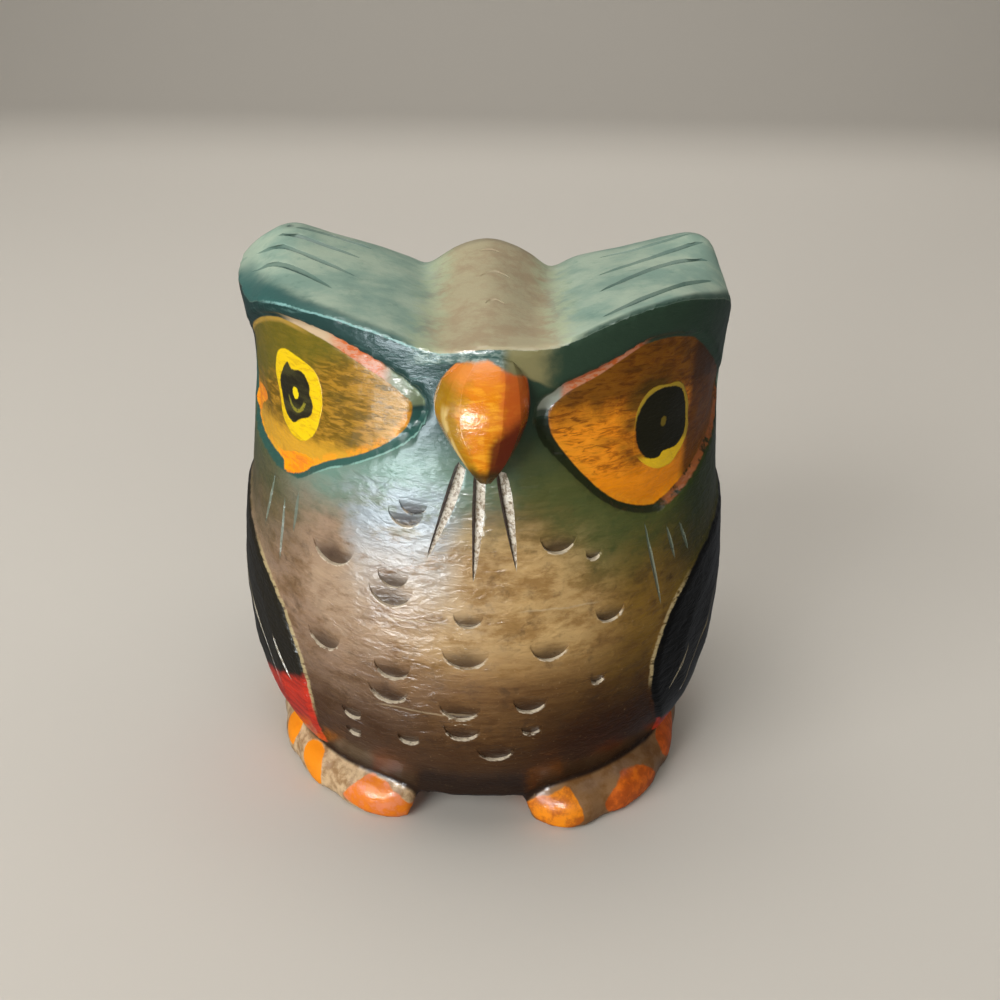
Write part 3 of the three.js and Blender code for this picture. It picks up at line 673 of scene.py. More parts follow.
# %% [markdown]
# One Boolean for each cut would be slow, so tools that don't touch each other are first
# joined and cut together. A face that many cuts have left with a long outline is poked
# into a fan of triangles, so that it shades evenly.

# %% Cut them all
LONG_OUTLINE = 16


def apart(tools):
    """Sorts the tools into joined sets in which none touches another."""
    sets = []
    for tool in tools:
        marks = np.array([tuple(corner) for corner in tool.bound_box])
        box = (marks.min(0), marks.max(0))
        for members, boxes in sets:
            clear = all((box[0] > end).any() or (box[1] < start).any()
                        for start, end in boxes)
            if clear:
                members.append(tool)
                boxes.append(box)
                break
        else:
            sets.append(([tool], [box]))
    for members, _ in sets:
        clear_selection()
        for tool in members:
            tool.select_set(True)
        bpy.context.view_layer.objects.active = members[0]
        if len(members) > 1:
            bpy.ops.object.join()
        yield members[0]


for kind, tools in cuts.items():
    for tool in apart(tools):
        carve(owl, tool)
clear_selection()
owl.select_set(True)
bpy.context.view_layer.objects.active = owl
bpy.ops.object.mode_set(mode="EDIT")
mesh = bmesh.from_edit_mesh(owl.data)
for face in mesh.faces:
    face.select_set(len(face.verts) > LONG_OUTLINE)
bpy.ops.mesh.poke()
bpy.ops.object.mode_set(mode="OBJECT")
body = owl.data
cut_names = [slot.name if slot else "" for slot in body.materials]
print("all cuts made:", len(body.polygons), "faces", cut_names)

# %% [markdown]
# The finished body is held inside the solid's box, brought to metres and shaded smooth
# except across the crisp knife edges.

# %% Bring to metres
CRISP_ANGLE = 38
low = np.array(cad_low) / MM
high = np.array(cad_high) / MM
corners = np.empty(len(body.vertices) * 3)
body.vertices.foreach_get("co", corners)
corners = np.clip(corners.reshape(-1, 3), low, high)
body.vertices.foreach_set("co", (corners * MM).ravel())
body.update()
clear_selection()
owl.select_set(True)
bpy.context.view_layer.objects.active = owl
bpy.ops.object.shade_smooth_by_angle(angle=np.radians(CRISP_ANGLE))
owl.name = "painted_owl"
triangles = sum(len(face.vertices) - 2 for face in body.polygons)
print("owl:", triangles, "triangles, tallest", round(corners[:, 2].max(), 2), "mm")

# %% [markdown]
# Paint follows outlines drawn on the wood. For every corner of the mesh the distance to
# each outline is measured in millimetres, minus outside and plus inside, and stored as
# an attribute. The paint can then start, stop and fade at a distance from an edge.
# Outlines on the round body are laid flat first, with azimuth turned into millimetres.

# %% Distance to an outline
FAR = 30.0
x, y, z = corners.T
azimuth = np.degrees(np.arctan2(x, -y))
fields = {}


def inside_distance(across, up, outline):
    """Distance to a closed outline, plus inside it, with the nearest edge's number."""
    outline = np.asarray(outline, float)
    ends = np.roll(outline, -1, axis=0)
    nearest = np.full(len(across), 1e9)
    which = np.zeros(len(across), int)
    within = np.zeros(len(across), bool)
    for number, (start, end) in enumerate(zip(outline, ends)):
        run = end - start
        share = ((across - start[0]) * run[0] + (up - start[1]) * run[1]) / (run @ run)
        share = np.clip(share, 0, 1)
        gap = np.hypot(across - start[0] - run[0] * share, up - start[1] - run[1] * share)
        which = np.where(gap < nearest, number, which)
        nearest = np.minimum(nearest, gap)
        if start[1] != end[1]:
            crossing = start[0] + (up - start[1]) / run[1] * run[0]
            within ^= ((start[1] > up) != (end[1] > up)) & (across < crossing)
    return np.where(within, nearest, -nearest), which


def laid_flat(outline, scale):
    return np.asarray(outline, float) * (scale, 1)


def turn_from(centre):
    return (azimuth - centre + 180) % 360 - 180


print("corners to measure:", len(x))

# %% [markdown]
# The yellow rings and dark pupils were painted freehand, each a little out of round, so
# they are drawn out from tables of azimuth and height. Two orange blobs lie outside the
# left patch.

# %% Outlines of rings, pupils and blobs
LEFT_RING = [
    (-49.6, 78.0), (-45.8, 77.7), (-42.4, 77.2), (-39.6, 76.4), (-38.0, 75.2), (-37.4, 73.4),
    (-37.6, 71.2), (-38.4, 69.2), (-39.9, 67.1), (-42.3, 65.4), (-45.4, 64.5), (-48.4, 64.6),
    (-51.0, 65.5), (-52.8, 67.0), (-53.9, 68.8), (-54.7, 70.7), (-54.9, 73.0), (-54.2, 75.4),
    (-52.7, 77.1),
]
LEFT_PUPIL = [
    (-48.9, 76.2), (-47.4, 75.3), (-44.2, 75.6), (-42.6, 75.2), (-41.8, 74.4), (-41.0, 73.6),
    (-41.5, 72.5), (-40.8, 71.2), (-41.0, 69.7), (-42.4, 68.7), (-45.0, 68.1), (-47.9, 66.9),
    (-50.5, 67.5), (-52.2, 68.9), (-53.3, 70.7), (-53.0, 72.7), (-51.5, 74.3),
]
RIGHT_RING = [
    (43.2, 74.9), (38.0, 75.0), (35.1, 73.7), (33.8, 71.9), (33.5, 70.1), (33.4, 68.0),
    (34.0, 65.7), (36.8, 63.7), (41.4, 62.0), (46.2, 61.7), (49.3, 62.9), (52.3, 64.4),
    (53.2, 66.8), (52.4, 70.1), (50.0, 72.7), (47.2, 74.5),
]
RIGHT_PUPIL = [
    (43.4, 74.4), (47.0, 73.8), (49.6, 72.0), (51.8, 68.6), (51.4, 66.0), (48.4, 64.4),
    (43.0, 64.4), (42.1, 63.7), (38.0, 64.2), (34.9, 66.5), (33.9, 69.2), (34.5, 71.7),
    (36.7, 73.7), (40.2, 74.5),
]
EYES = {
    -1: (LEFT_EYE, LEFT_RING, LEFT_PUPIL, (-46.4, 71.8)),
    1: (RIGHT_EYE, RIGHT_RING, RIGHT_PUPIL, (42.4, 69.3)),
}
BLOBS = [
    [(-80.4, 65.3), (-76.0, 67.6), (-68.0, 68.9), (-63.4, 68.5), (-63.0, 67.4), (-68.0, 65.6),
     (-73.2, 63.2), (-77.2, 63.2)],
    [(-56.4, 61.0), (-54.0, 61.0), (-47.5, 62.3), (-41.4, 62.4), (-42.0, 61.1), (-44.6, 59.7),
     (-48.9, 58.7), (-52.4, 59.0)],
]
print("ring corners:", len(LEFT_RING), len(RIGHT_RING))

# %% [markdown]
# Round the eyes the measures are the distance inside the patch, inside its stroke, ring
# and pupil, whether the nearest edge faces up or down, and the place beside the dot.

# %% Distances round the eyes
for name in ("eye", "eye_rim", "ring", "pupil", "blob"):
    fields[name] = np.full(len(x), -FAR)
fields["eye_up"] = np.zeros(len(x))
for name in ("eye_across", "eye_height"):
    fields[name] = np.full(len(x), FAR)
for side, (patch, ring, pupil, dot) in EYES.items():
    here = (np.sign(x) == side) & (np.abs(azimuth) < 100) & (z > 50) & (np.hypot(x, y) > 33)
    across = azimuth[here] * EYE_MM
    up = z[here]
    outline, stroke = eye_outline(patch)[:, :2], eye_outline(patch)[:, 2]
    edge, nearest = inside_distance(across, up, laid_flat(outline, EYE_MM))
    fields["eye"][here] = edge
    fields["eye_rim"][here] = edge + stroke[nearest]
    middle = outline.mean(0)
    run = (outline[(nearest + 3) % EYE_CORNERS] - outline[nearest - 2]) * (EYE_MM, 1)
    normal = np.stack([run[:, 1], -run[:, 0]], 1) / np.linalg.norm(run, axis=1)[:, None]
    away = (outline[nearest] - middle) * (EYE_MM, 1)
    fields["eye_up"][here] = normal[:, 1] * np.sign((normal * away).sum(1))
    for name, corners_of in (("ring", ring), ("pupil", pupil)):
        smooth_line = drawn_out(corners_of, 60, closed=True)
        fields[name][here] = inside_distance(across, up, laid_flat(smooth_line, EYE_MM))[0]
    for blob in BLOBS if side < 0 else []:
        smooth_line = drawn_out(blob, 30, closed=True)
        inside = inside_distance(across, up, laid_flat(smooth_line, EYE_MM))[0]
        fields["blob"][here] = np.maximum(fields["blob"][here], inside)
    fields["eye_across"][here] = (azimuth[here] - dot[0]) * EYE_MM
    fields["eye_height"][here] = up - dot[1]
print("eye patch corners:", int((fields["eye"] > 0).sum()))

# %% [markdown]
# The head top is measured square to its surface, the beak across its own width, and the
# wings to their outline laid flat.

# %% Distances to head top, beak and wings
BODY_MM = np.radians(41.5)
slope_x = (top_height(x + 0.2, y) - top_height(x - 0.2, y)) / 0.4
slope_y = (top_height(x, y + 0.2) - top_height(x, y - 0.2)) / 0.4
fields["top"] = (top_height(x, y) - z) / np.sqrt(1 + slope_x ** 2 + slope_y ** 2)

by_height = beak_table[::-1]
beak_half = np.interp(z, by_height[:, 0], by_height[:, 2], left=-3, right=-3)
beak_middle = np.interp(z, by_height[:, 0], by_height[:, 1])
fields["beak"] = np.where(y < -33, beak_half + 0.35 - np.abs(x - beak_middle), -FAR)
fields["beak_across"] = (x - beak_middle) / np.maximum(1, beak_half)

fields["wing"] = np.full(len(x), -FAR)
for side in (-1, 1):
    here = (np.sign(x) == side) & (z < 60)
    outline = laid_flat(wing_outline(side), BODY_MM)
    fields["wing"][here] = inside_distance(azimuth[here] * BODY_MM, z[here], outline)[0]
print("corners on the wings:", int((fields["wing"] > 0).sum()))

# %% [markdown]
# Every toe has a painted patch of its own outline, and a number from 0 to 1 says how red
# its orange is. The lip of a scallop is measured too, with how low on its edge a corner
# lies, and how far a corner is sunk below the turned body or stands out of it as a foot.

# %% Distances to toes and scallops
TOES = [
    ([(-34.6, 2.2), (-31.0, 5.6), (-28.5, 6.6), (-24.0, 6.3), (-19.5, 4.4), (-17.0, 2.6),
      (-17.8, 0.2), (-24, 0.2), (-30.5, 0.8)], 0.55),
    ([(-51.5, 5.6), (-47.5, 6.8), (-44.2, 6.0), (-42.6, 4.2), (-42.4, 1.0), (-45, 0.2),
      (-50.5, 2.6)], 0.0),
    ([(-65.0, 5.6), (-60.0, 7.4), (-56.8, 5.6), (-57.6, 2.4), (-61.5, 2.6)], 0.1),
    ([(13.0, 3.2), (15.6, 5.2), (22.4, 6.9), (24.4, 4.4), (24.6, 1.6), (21.0, 0.2),
      (15.4, 0.2)], 0.3),
    ([(31.0, 3.2), (33.4, 4.9), (37.8, 6.3), (44.5, 5.8), (49.0, 2.6), (46.5, 0.6),
      (36.0, 0.1), (32.0, 1.0)], 0.75),
    ([(55.0, 5.9), (60.0, 7.3), (68.0, 6.6), (71.0, 4.4), (66.0, 2.2), (58.2, 1.6),
      (54.5, 3.4)], 0.9),
    ([(-96, 4.6), (-90, 6.0), (-84, 4.6), (-86, 1.2), (-94, 1.0)], 0.2),
    ([(84, 4.6), (90, 6.0), (96, 4.6), (94, 1.2), (86, 1.0)], 0.6),
]
fields["toe"] = np.full(len(x), -FAR)
fields["toe_red"] = np.zeros(len(x))
here = z < 12
for outline, redness in TOES:
    smooth_line = drawn_out(outline, 36, closed=True, tension=0.3)
    flat_line = laid_flat(smooth_line, BODY_MM)
    edge = inside_distance(azimuth[here] * BODY_MM, z[here], flat_line)[0]
    nearer = edge > fields["toe"][here]
    fields["toe_red"][here] = np.where(nearer, redness, fields["toe_red"][here])
    fields["toe"][here] = np.maximum(fields["toe"][here], edge)
fields["lip"] = np.full(len(x), 9.0)
fields["lip_low"] = np.zeros(len(x))
for centre, height, half in SCALLOPS:
    across = turn_from(centre) * BODY_MM
    up = z - height - half
    from_centre = np.hypot(across, up)
    closer = (np.abs(from_centre - half) < np.abs(fields["lip"])) & (y < 0)
    fields["lip"][closer] = (from_centre - half)[closer]
    fields["lip_low"][closer] = (-up / np.maximum(from_centre, 0.1))[closer]
reach_out = np.hypot(x, y)
fields["sunk"] = blank_radius(z) - reach_out
fields["foot"] = np.where(z < 9, reach_out - blank_radius(z), -9)
print("measured:", sorted(fields))

# %% [markdown]
# One more thing decides the colour: which faces belong to a knife cut, because the walls are
# coloured apart from the wood round them, partly as bare wood and partly with painted shade and
# painted highlights. Each tool left its own material on the walls it cut, so the walls are found
# by it, and the lit wall of a cut by the way it faces.

# %% Mark the cut walls
for name, values in fields.items():
    body.attributes.new(name, "FLOAT", "POINT").data.foreach_set(
        "value", values.astype(np.float32))

faces = len(body.polygons)
kinds = np.empty(faces, int)
body.polygons.foreach_get("material_index", kinds)
face_normals = np.empty(faces * 3)
body.polygons.foreach_get("normal", face_normals)
face_normals = face_normals.reshape(-1, 3)
centres = np.empty(faces * 3)
body.polygons.foreach_get("center", centres)
centres = centres.reshape(-1, 3)
sideways = np.stack([-centres[:, 1], centres[:, 0]], 1)
sideways /= np.linalg.norm(sideways, axis=1)[:, None]
turned = (face_normals[:, :2] * sideways).sum(1)


def made_by(kind):
    return kinds == cut_names.index(kind) if kind in cut_names else np.zeros(faces, bool)


walls = {
    "whisker_pale": made_by("whisker") & (turned < 0),
    "whisker_dark": made_by("whisker") & (turned >= 0),
    "scallop_wall": made_by("scallop") & (face_normals[:, 2] > 0.6),
    "scallop_bed": made_by("scallop") & (face_normals[:, 2] <= 0.35),
    "groove": made_by("ear_groove"),
    "cheek": made_by("cheek_line"),
    "feather": made_by("feather_line"),
}
for name, chosen in walls.items():
    body.attributes.new(name, "FLOAT", "FACE").data.foreach_set(
        "value", chosen.astype(np.float32))
body.materials.clear()
print("cut walls:", {name: int(chosen.sum()) for name, chosen in walls.items()})

# %% [markdown]
# The finish is one material, because the real owl was painted in thin coats that run
# over and into each other. A few small helpers keep the coats readable: a measured
# field, a noise, a soft step, and a coat of colour laid over what is there.

# %% Brushes
finish = bpy.data.materials.new("painted_wood")
finish.use_nodes = True
tree = finish.node_tree
tree.nodes.clear()


def put(target, source):
    if hasattr(source, "is_linked") or isinstance(source, bpy.types.NodeSocket):
        tree.links.new(source, target)
    else:
        target.default_value = source


def measured(name):
    node = tree.nodes.new("ShaderNodeAttribute")
    node.attribute_name = name
    return node.outputs["Fac"]


def sum_up(operation, first_value, second_value=0.0, third_value=None):
    node = tree.nodes.new("ShaderNodeMath")
    node.operation = operation
    put(node.inputs[0], first_value)
    put(node.inputs[1], second_value)
    if third_value is not None:
        put(node.inputs[2], third_value)
    return node.outputs[0]


def soft(value, start, end):
    node = tree.nodes.new("ShaderNodeMapRange")
    node.interpolation_type = "SMOOTHSTEP"
    put(node.inputs["Value"], value)
    put(node.inputs["From Min"], start)
    put(node.inputs["From Max"], end)
    return node.outputs["Result"]


def both(*masks):
    whole = masks[0]
    for mask in masks[1:]:
        whole = sum_up("MULTIPLY", whole, mask)
    return whole


def without(mask):
    return sum_up("SUBTRACT", 1.0, mask)


def added(base, value, times):
    """The base with so many times the value added to it."""
    return sum_up("MULTIPLY_ADD", value, times, base)


def off_line(value, line):
    """How far the value is from the line, on either side."""
    return sum_up("ABSOLUTE", sum_up("SUBTRACT", value, line))


place = tree.nodes.new("ShaderNodeTexCoord").outputs["Object"]


def mottle(size, stretch=(1, 1, 1), detail=3.0, rough=0.55, swirl=0.0, seed=0.0):
    """Noise whose patches are about size millimetres, stretched along each axis."""
    mapping = tree.nodes.new("ShaderNodeMapping")
    put(mapping.inputs["Vector"], place)
    mapping.inputs["Scale"].default_value = [1 / (size * MM * part) for part in stretch]
    mapping.inputs["Location"].default_value = (seed, seed * 0.7, seed * 1.3)
    node = tree.nodes.new("ShaderNodeTexNoise")
    put(node.inputs["Vector"], mapping.outputs[0])
    node.inputs["Scale"].default_value = 1.0
    node.inputs["Detail"].default_value = detail
    node.inputs["Roughness"].default_value = rough
    node.inputs["Distortion"].default_value = swirl
    return node.outputs["Fac"]


def wavered(value, noise, amount):
    """The value shifted by the noise, by up to about half the amount either way."""
    return sum_up("MULTIPLY_ADD", sum_up("SUBTRACT", noise, 0.5), amount, value)


def stain(red, green, blue):
    """Colour given as on a screen, 0 to 255, for a shader's own linear scale."""
    shares = np.array([red, green, blue]) / 255
    linear = np.where(shares <= 0.04045, shares / 12.92, ((shares + 0.055) / 1.055) ** 2.4)
    return (*[float(share) for share in linear], 1.0)


def coat(under, colour, *masks):
    """The colour laid over what is there, as far as all the masks let it through."""
    node = tree.nodes.new("ShaderNodeMix")
    node.data_type = "RGBA"
    put(node.inputs["Factor"], both(*masks))
    put(node.inputs[6], under)
    put(node.inputs[7], colour)
    return node.outputs[2]


print("a mid stain in linear numbers:", [round(share, 3) for share in stain(128, 90, 48)])

# %% [markdown]
# Where a coat lies is read from the place on the owl in millimetres: across, to the
# back, up, and round by azimuth. The noises are what the hand adds: long and short
# grain, blotches of several sizes, specks, and the drag of a nearly dry brush.

# %% Places and noises
axes = tree.nodes.new("ShaderNodeSeparateXYZ")
tree.links.new(place, axes.inputs[0])
at_x = sum_up("DIVIDE", axes.outputs["X"], MM)
at_y = sum_up("DIVIDE", axes.outputs["Y"], MM)
at_z = sum_up("DIVIDE", axes.outputs["Z"], MM)
round_az = sum_up("MULTIPLY", sum_up("ARCTAN2", at_x, sum_up("MULTIPLY", at_y, -1.0)),
                  180 / np.pi)
azimuth_out = sum_up("ABSOLUTE", round_az)
far_out = sum_up("SQRT", sum_up("MULTIPLY_ADD", at_x, at_x, sum_up("MULTIPLY", at_y, at_y)))
ripple = mottle(0.7, stretch=(1.8, 1.8, 0.7), detail=4, rough=0.6, seed=17.0)
grain = mottle(1.4, stretch=(5, 5, 0.55), detail=6, rough=0.6, swirl=0.3)
long_grain = mottle(4.0, stretch=(5, 5, 0.6), detail=3, seed=3.1)
blotch = mottle(9.0, detail=4, rough=0.6, seed=7.7)
small_blotch = mottle(2.6, detail=4, rough=0.65, seed=1.9)
speck = mottle(0.55, detail=2, rough=0.7, seed=5.3)
cloudy = mottle(4.0, stretch=(1.7, 1.7, 0.8), detail=6, rough=0.7, seed=21.0)
streak = mottle(1.1, stretch=(3, 3, 0.8), detail=4, seed=9.4)
drag = mottle(0.8, stretch=(3.2, 3.2, 0.8), detail=5, rough=0.65, swirl=0.6, seed=11.0)
broad_drag = mottle(2.6, stretch=(2.6, 2.6, 0.8), detail=3, seed=13.0)
print("nodes for places and noises:", len(tree.nodes))

# %% [markdown]
# The first coats are the wood and its brown stain. The grain of the block runs across the owl, so
# it shows as fine level streaks. The stain is greyer towards the viewer's left and olive and gold
# towards the right. The coats are darker towards the right, near the floor and most of all low on
# the right, partly stain and partly painted shade. They are also darker at the back, and a warm
# tan is left down the middle of the breast.

# %% Wood, stain and painted shade
paint = coat(stain(128, 90, 48), stain(156, 116, 68), soft(grain, 0.3, 0.7))
paint = coat(paint, stain(98, 66, 34), soft(long_grain, 0.5, 0.78), 0.5)
paint = coat(paint, stain(88, 58, 30), soft(cloudy, 0.5, 0.72), 0.6)
to_left = soft(wavered(at_x, blotch, 18.0), 6.0, -24.0)
left_stain = coat(stain(150, 128, 112), stain(112, 88, 66), soft(cloudy, 0.4, 0.68))
paint = coat(paint, left_stain, to_left, 0.68)
# Towards the right the stain is olive and gold, and a little darker as painted shade.
to_right = soft(wavered(at_x, blotch, 16.0), 4.0, 26.0)
right_stain_and_shade = coat(stain(126, 96, 24), stain(90, 62, 16), soft(cloudy, 0.42, 0.66))
paint = coat(paint, right_stain_and_shade, to_right, 0.74)
# Darker near the floor: partly stain, partly painted shade.
low_down = soft(wavered(at_z, blotch, 14.0), 40.0, 18.0)
paint = coat(paint, stain(54, 29, 9), low_down, 0.85)
# Darkest low on the right: partly stain, partly painted shade.
low_right = both(soft(wavered(at_z, cloudy, 14.0), 38.0, 18.0), soft(at_x, 0.0, 18.0))
paint = coat(paint, stain(44, 16, 3), low_right, 0.82)
# The lowest band is darker again, partly painted shade.
lowest = soft(wavered(at_z, small_blotch, 5.0), 16.0, 9.0)
paint = coat(paint, stain(36, 22, 12), lowest, 0.85)
behind = soft(at_y, 4.0, 24.0)
paint = coat(paint, stain(74, 60, 44), behind, 0.6)
tan_middle = both(soft(wavered(at_x, blotch, 14.0), -14.0, -2.0), soft(at_x, 24.0, 12.0),
                  soft(at_y, 0.0, -10.0), soft(wavered(at_z, cloudy, 12.0), 30.0, 40.0),
                  soft(wavered(at_z, cloudy, 6.0), 60.0, 54.0))
tan_colour = coat(stain(206, 172, 116), stain(160, 124, 72), soft(cloudy, 0.4, 0.62))
paint = coat(paint, tan_colour, tan_middle, 0.7)
paint = coat(paint, stain(56, 38, 24), soft(small_blotch, 0.52, 0.74), 0.5)
paint = coat(paint, stain(186, 156, 116), soft(speck, 0.64, 0.8), 0.35)

# %% [markdown]
# Thin green-blue was brushed over the stain from the head down, so it fades out below the eyes in
# level strokes: bluer on the viewer's left, olive green on the right. Left of the middle a bluish
# sheen of the varnish is painted on, with a paler warm painted sheen below it.

# %% Green fading down from the head
rightward = soft(at_x, 3.0, 20.0)
fade_line = wavered(wavered(at_z, blotch, 9.0), cloudy, 7.0)
fade_line = added(fade_line, rightward, 8.0)
green_wash = soft(fade_line, 51.0, 65.0)
cool = soft(wavered(at_x, blotch, 12.0), 8.0, -8.0)
wash_colour = coat(stain(68, 84, 42), stain(104, 142, 128), cool)
paint = coat(paint, wash_colour, green_wash, 0.86)
# Painted sheen: a bluish white patch left of the middle, under the eyes.
painted_blue_sheen = both(soft(wavered(round_az, blotch, 20.0), -34.0, -24.0), soft(round_az, -2.0, -10.0),
                 soft(wavered(at_z, cloudy, 10.0), 40.0, 52.0), soft(at_z, 66.0, 60.0))
paint = coat(paint, stain(150, 162, 170), painted_blue_sheen, soft(cloudy, 0.64, 0.44), 0.8)
# Painted sheen: a paler warm patch below it, down the left breast.
painted_warm_sheen = both(soft(wavered(round_az, blotch, 24.0), -46.0, -30.0), soft(round_az, 10.0, -6.0),
                 soft(wavered(at_z, small_blotch, 12.0), 30.0, 44.0), soft(at_z, 58.0, 48.0))
paint = coat(paint, stain(190, 164, 132), painted_warm_sheen, soft(cloudy, 0.68, 0.4), 0.5)
far_side = soft(azimuth_out, 36.0, 58.0)
side_green = soft(added(wavered(at_z, blotch, 14.0), rightward, 10.0), 36.0, 58.0)
side_colour = coat(stain(34, 48, 18), stain(70, 72, 38), cool)
paint = coat(paint, side_colour, far_side, side_green, 0.82)
head_band = soft(wavered(at_z, small_blotch, 3.0), 63.0, 73.0)
band_colour = coat(stain(42, 64, 50), stain(22, 54, 52), cool)
paint = coat(paint, band_colour, head_band, 0.93)
paint = coat(paint, stain(104, 140, 134), head_band, cool, soft(streak, 0.56, 0.78), 0.5)
print("nodes after the green:", len(tree.nodes))

# %% [markdown]
# The head top was painted paler: grey-green ear tufts with a painted highlight along their far
# edges, and a tan crown with a pale green rim down each side. Its front corners turn dark green
# as painted shade where the wood curves down over the brow, and the left brow is shaded the same
# way. A pale line along the left ridge is partly wear and partly a painted highlight. The knife
# grooves in the tufts are darker.

# %% Head top paint
top = measured("top")
on_top = soft(wavered(top, speck, 0.2), 0.45, 0.28)
outer_side = both(soft(at_x, -36.5, -39.0), soft(wavered(at_z, small_blotch, 4.0), 66.0, 72.0))
paint = coat(paint, stain(62, 52, 42), outer_side, 0.8)
tuft = coat(stain(132, 158, 142), stain(168, 184, 162), soft(blotch, 0.35, 0.65))
tuft = coat(tuft, stain(100, 134, 120), soft(small_blotch, 0.55, 0.75), 0.45)
# Painted highlight along the far edges of the tufts.
far_edge = both(soft(wavered(at_y, blotch, 12.0), 2.0, 16.0), soft(at_y, 34.0, 20.0))
tuft = coat(tuft, stain(208, 212, 198), far_edge, 0.75)
paint = coat(paint, tuft, on_top)
# Painted shade on the front corner of the left tuft, where it curves down over the brow.
corner = added(sum_up("MULTIPLY", at_y, -0.57), at_x, -0.82)
painted_front_shade = soft(wavered(corner, small_blotch, 2.0), 34.8, 39.0)
paint = coat(paint, stain(42, 84, 76), on_top, painted_front_shade, soft(at_x, 0.0, -4.0), 0.85)
# Painted shade over the rounding of the left brow.
shade_from = wavered(added(far_out, at_x, -0.06), small_blotch, 0.8)
brow_shade = both(soft(shade_from, 38.2, 40.4), soft(at_y, -2.0, -14.0), soft(at_x, -4.0, -9.0))
paint = coat(paint, stain(48, 90, 86), on_top, brow_shade, 0.75)
# Painted shade over the rounding of the right brow.
painted_right_shade = both(soft(far_out, 38.6, 39.8), soft(at_x, 8.0, 14.0), soft(at_y, -8.0, -14.0))
paint = coat(paint, stain(48, 72, 60), on_top, painted_right_shade, 0.9)
crown_side = off_line(at_x, 0.8)
crown = soft(wavered(wavered(crown_side, small_blotch, 5.0), speck, 1.2), 11.0, 6.0)
crown_paint = coat(stain(174, 160, 126), stain(164, 142, 110), soft(cloudy, 0.42, 0.6))
paint = coat(paint, crown_paint, on_top, crown, 0.92)
crown_rim = both(soft(crown_side, 5.0, 8.0), soft(crown_side, 13.0, 9.0))
paint = coat(paint, stain(180, 186, 146), on_top, crown_rim, soft(small_blotch, 0.36, 0.6), 0.6)
paint = coat(paint, stain(74, 100, 90), measured("groove"), 0.7)
# A pale line along the left ridge: partly wear, partly a painted highlight.
off_ridge = off_line(top, 0.42)
ridge_line = both(soft(wavered(off_ridge, speck, 0.2), 0.2, 0.06), soft(far_out, 37.0, 38.0),
                  soft(at_x, -2.0, -6.0), soft(at_x, -33.0, -30.0), soft(at_y, -8.0, -12.0))
paint = coat(paint, stain(140, 186, 180), ridge_line, soft(small_blotch, 0.32, 0.52), 0.75)
print("nodes after the head top:", len(tree.nodes))

# %% [markdown]
# The wings are nearly black, the left one lighter as painted light, with a pale line along part
# of the front edge that is partly bare wood and partly a painted highlight on the lit step. Their
# tips are red. Their feather lines were cut through to the pale wood.

# %% Wing paint
wing_edge = measured("wing")
wing_line = wavered(wing_edge, small_blotch, 0.7)
on_wing = soft(wing_line, -0.15, 0.2)
wing_paint = coat(stain(4, 3, 2), stain(14, 11, 6), soft(grain, 0.45, 0.7))
# Painted light: the wing on the viewer's left is lighter.
wing_paint = coat(wing_paint, stain(46, 41, 30), soft(at_x, 0.0, -4.0), 0.6)
paint = coat(paint, wing_paint, on_wing)
red_line = wavered(added(at_z, azimuth_out, 0.32), small_blotch, 3.0)
left_tip = both(soft(red_line, 39.5, 37.5), soft(at_x, 2.0, -2.0))
right_tip = both(soft(red_line, 31.0, 29.0), soft(at_x, -2.0, 2.0))
red_paint = coat(stain(198, 52, 32), stain(150, 36, 24), soft(grain, 0.4, 0.7))
paint = coat(paint, red_paint, on_wing, sum_up("ADD", left_tip, right_tip))
# The pale line on the front edge: partly bare wood, partly a painted highlight.
forward_edge = soft(azimuth_out, 66.0, 56.0)
line_foot = coat(soft(at_z, 24.0, 28.0), soft(at_z, 16.0, 22.0), soft(at_x, 1.0, -1.0))
line_head = coat(soft(at_z, 44.0, 40.0), soft(at_z, 50.0, 46.0), soft(at_x, 1.0, -1.0))
pale_line = both(soft(wing_line, -0.5, -0.15), soft(wing_line, 0.3, 0.1), forward_edge,
                 line_foot, line_head, soft(ripple, 0.3, 0.5))
paint = coat(paint, stain(180, 160, 116), pale_line, 0.8)
paint = coat(paint, stain(150, 138, 112), measured("feather"), 0.75)
print("nodes after the wings:", len(tree.nodes))

# %% [markdown]
# The feet are tan on the viewer's left and brown on the right, the difference partly paint and
# partly painted light and shade. Every toe has an orange patch, which is redder on some toes than
# on others, darker on the right partly as painted shade, and has a pinkish painted highlight on
# the toes at the left.

# %% Feet and toes
on_foot = both(soft(measured("foot"), 0.25, 0.9), soft(at_z, 8.6, 7.2))
foot_paint = coat(stain(216, 184, 142), stain(158, 122, 82), soft(small_blotch, 0.4, 0.65))
# Brown on the right, partly paint and partly painted shade; the tan left is partly painted light.
foot_paint = coat(foot_paint, stain(120, 76, 30), soft(at_x, 0.0, 6.0), 0.8)
paint = coat(paint, foot_paint, on_foot, 0.9)
toe_edge = wavered(measured("toe"), small_blotch, 0.9)
toe_red = wavered(measured("toe_red"), small_blotch, 1.1)
toe_paint = coat(stain(240, 140, 4), stain(208, 92, 18), soft(toe_red, 0.1, 0.9))
# Darker toes on the right, partly painted shade.
toe_paint = coat(toe_paint, stain(150, 66, 4), soft(at_x, 0.0, 6.0), soft(small_blotch, 0.4, 0.6),
                 0.6)
# Painted highlight: a pinkish pale patch on the left toes.
pale_toe = both(soft(small_blotch, 0.46, 0.62), soft(at_x, 2.0, -4.0), soft(toe_red, 0.3, 0.6))
toe_paint = coat(toe_paint, stain(232, 150, 112), pale_toe, 0.45)
on_toe = soft(toe_edge, -0.1, 0.2)
paint = coat(paint, toe_paint, on_toe)
print("nodes after the feet:", len(tree.nodes))

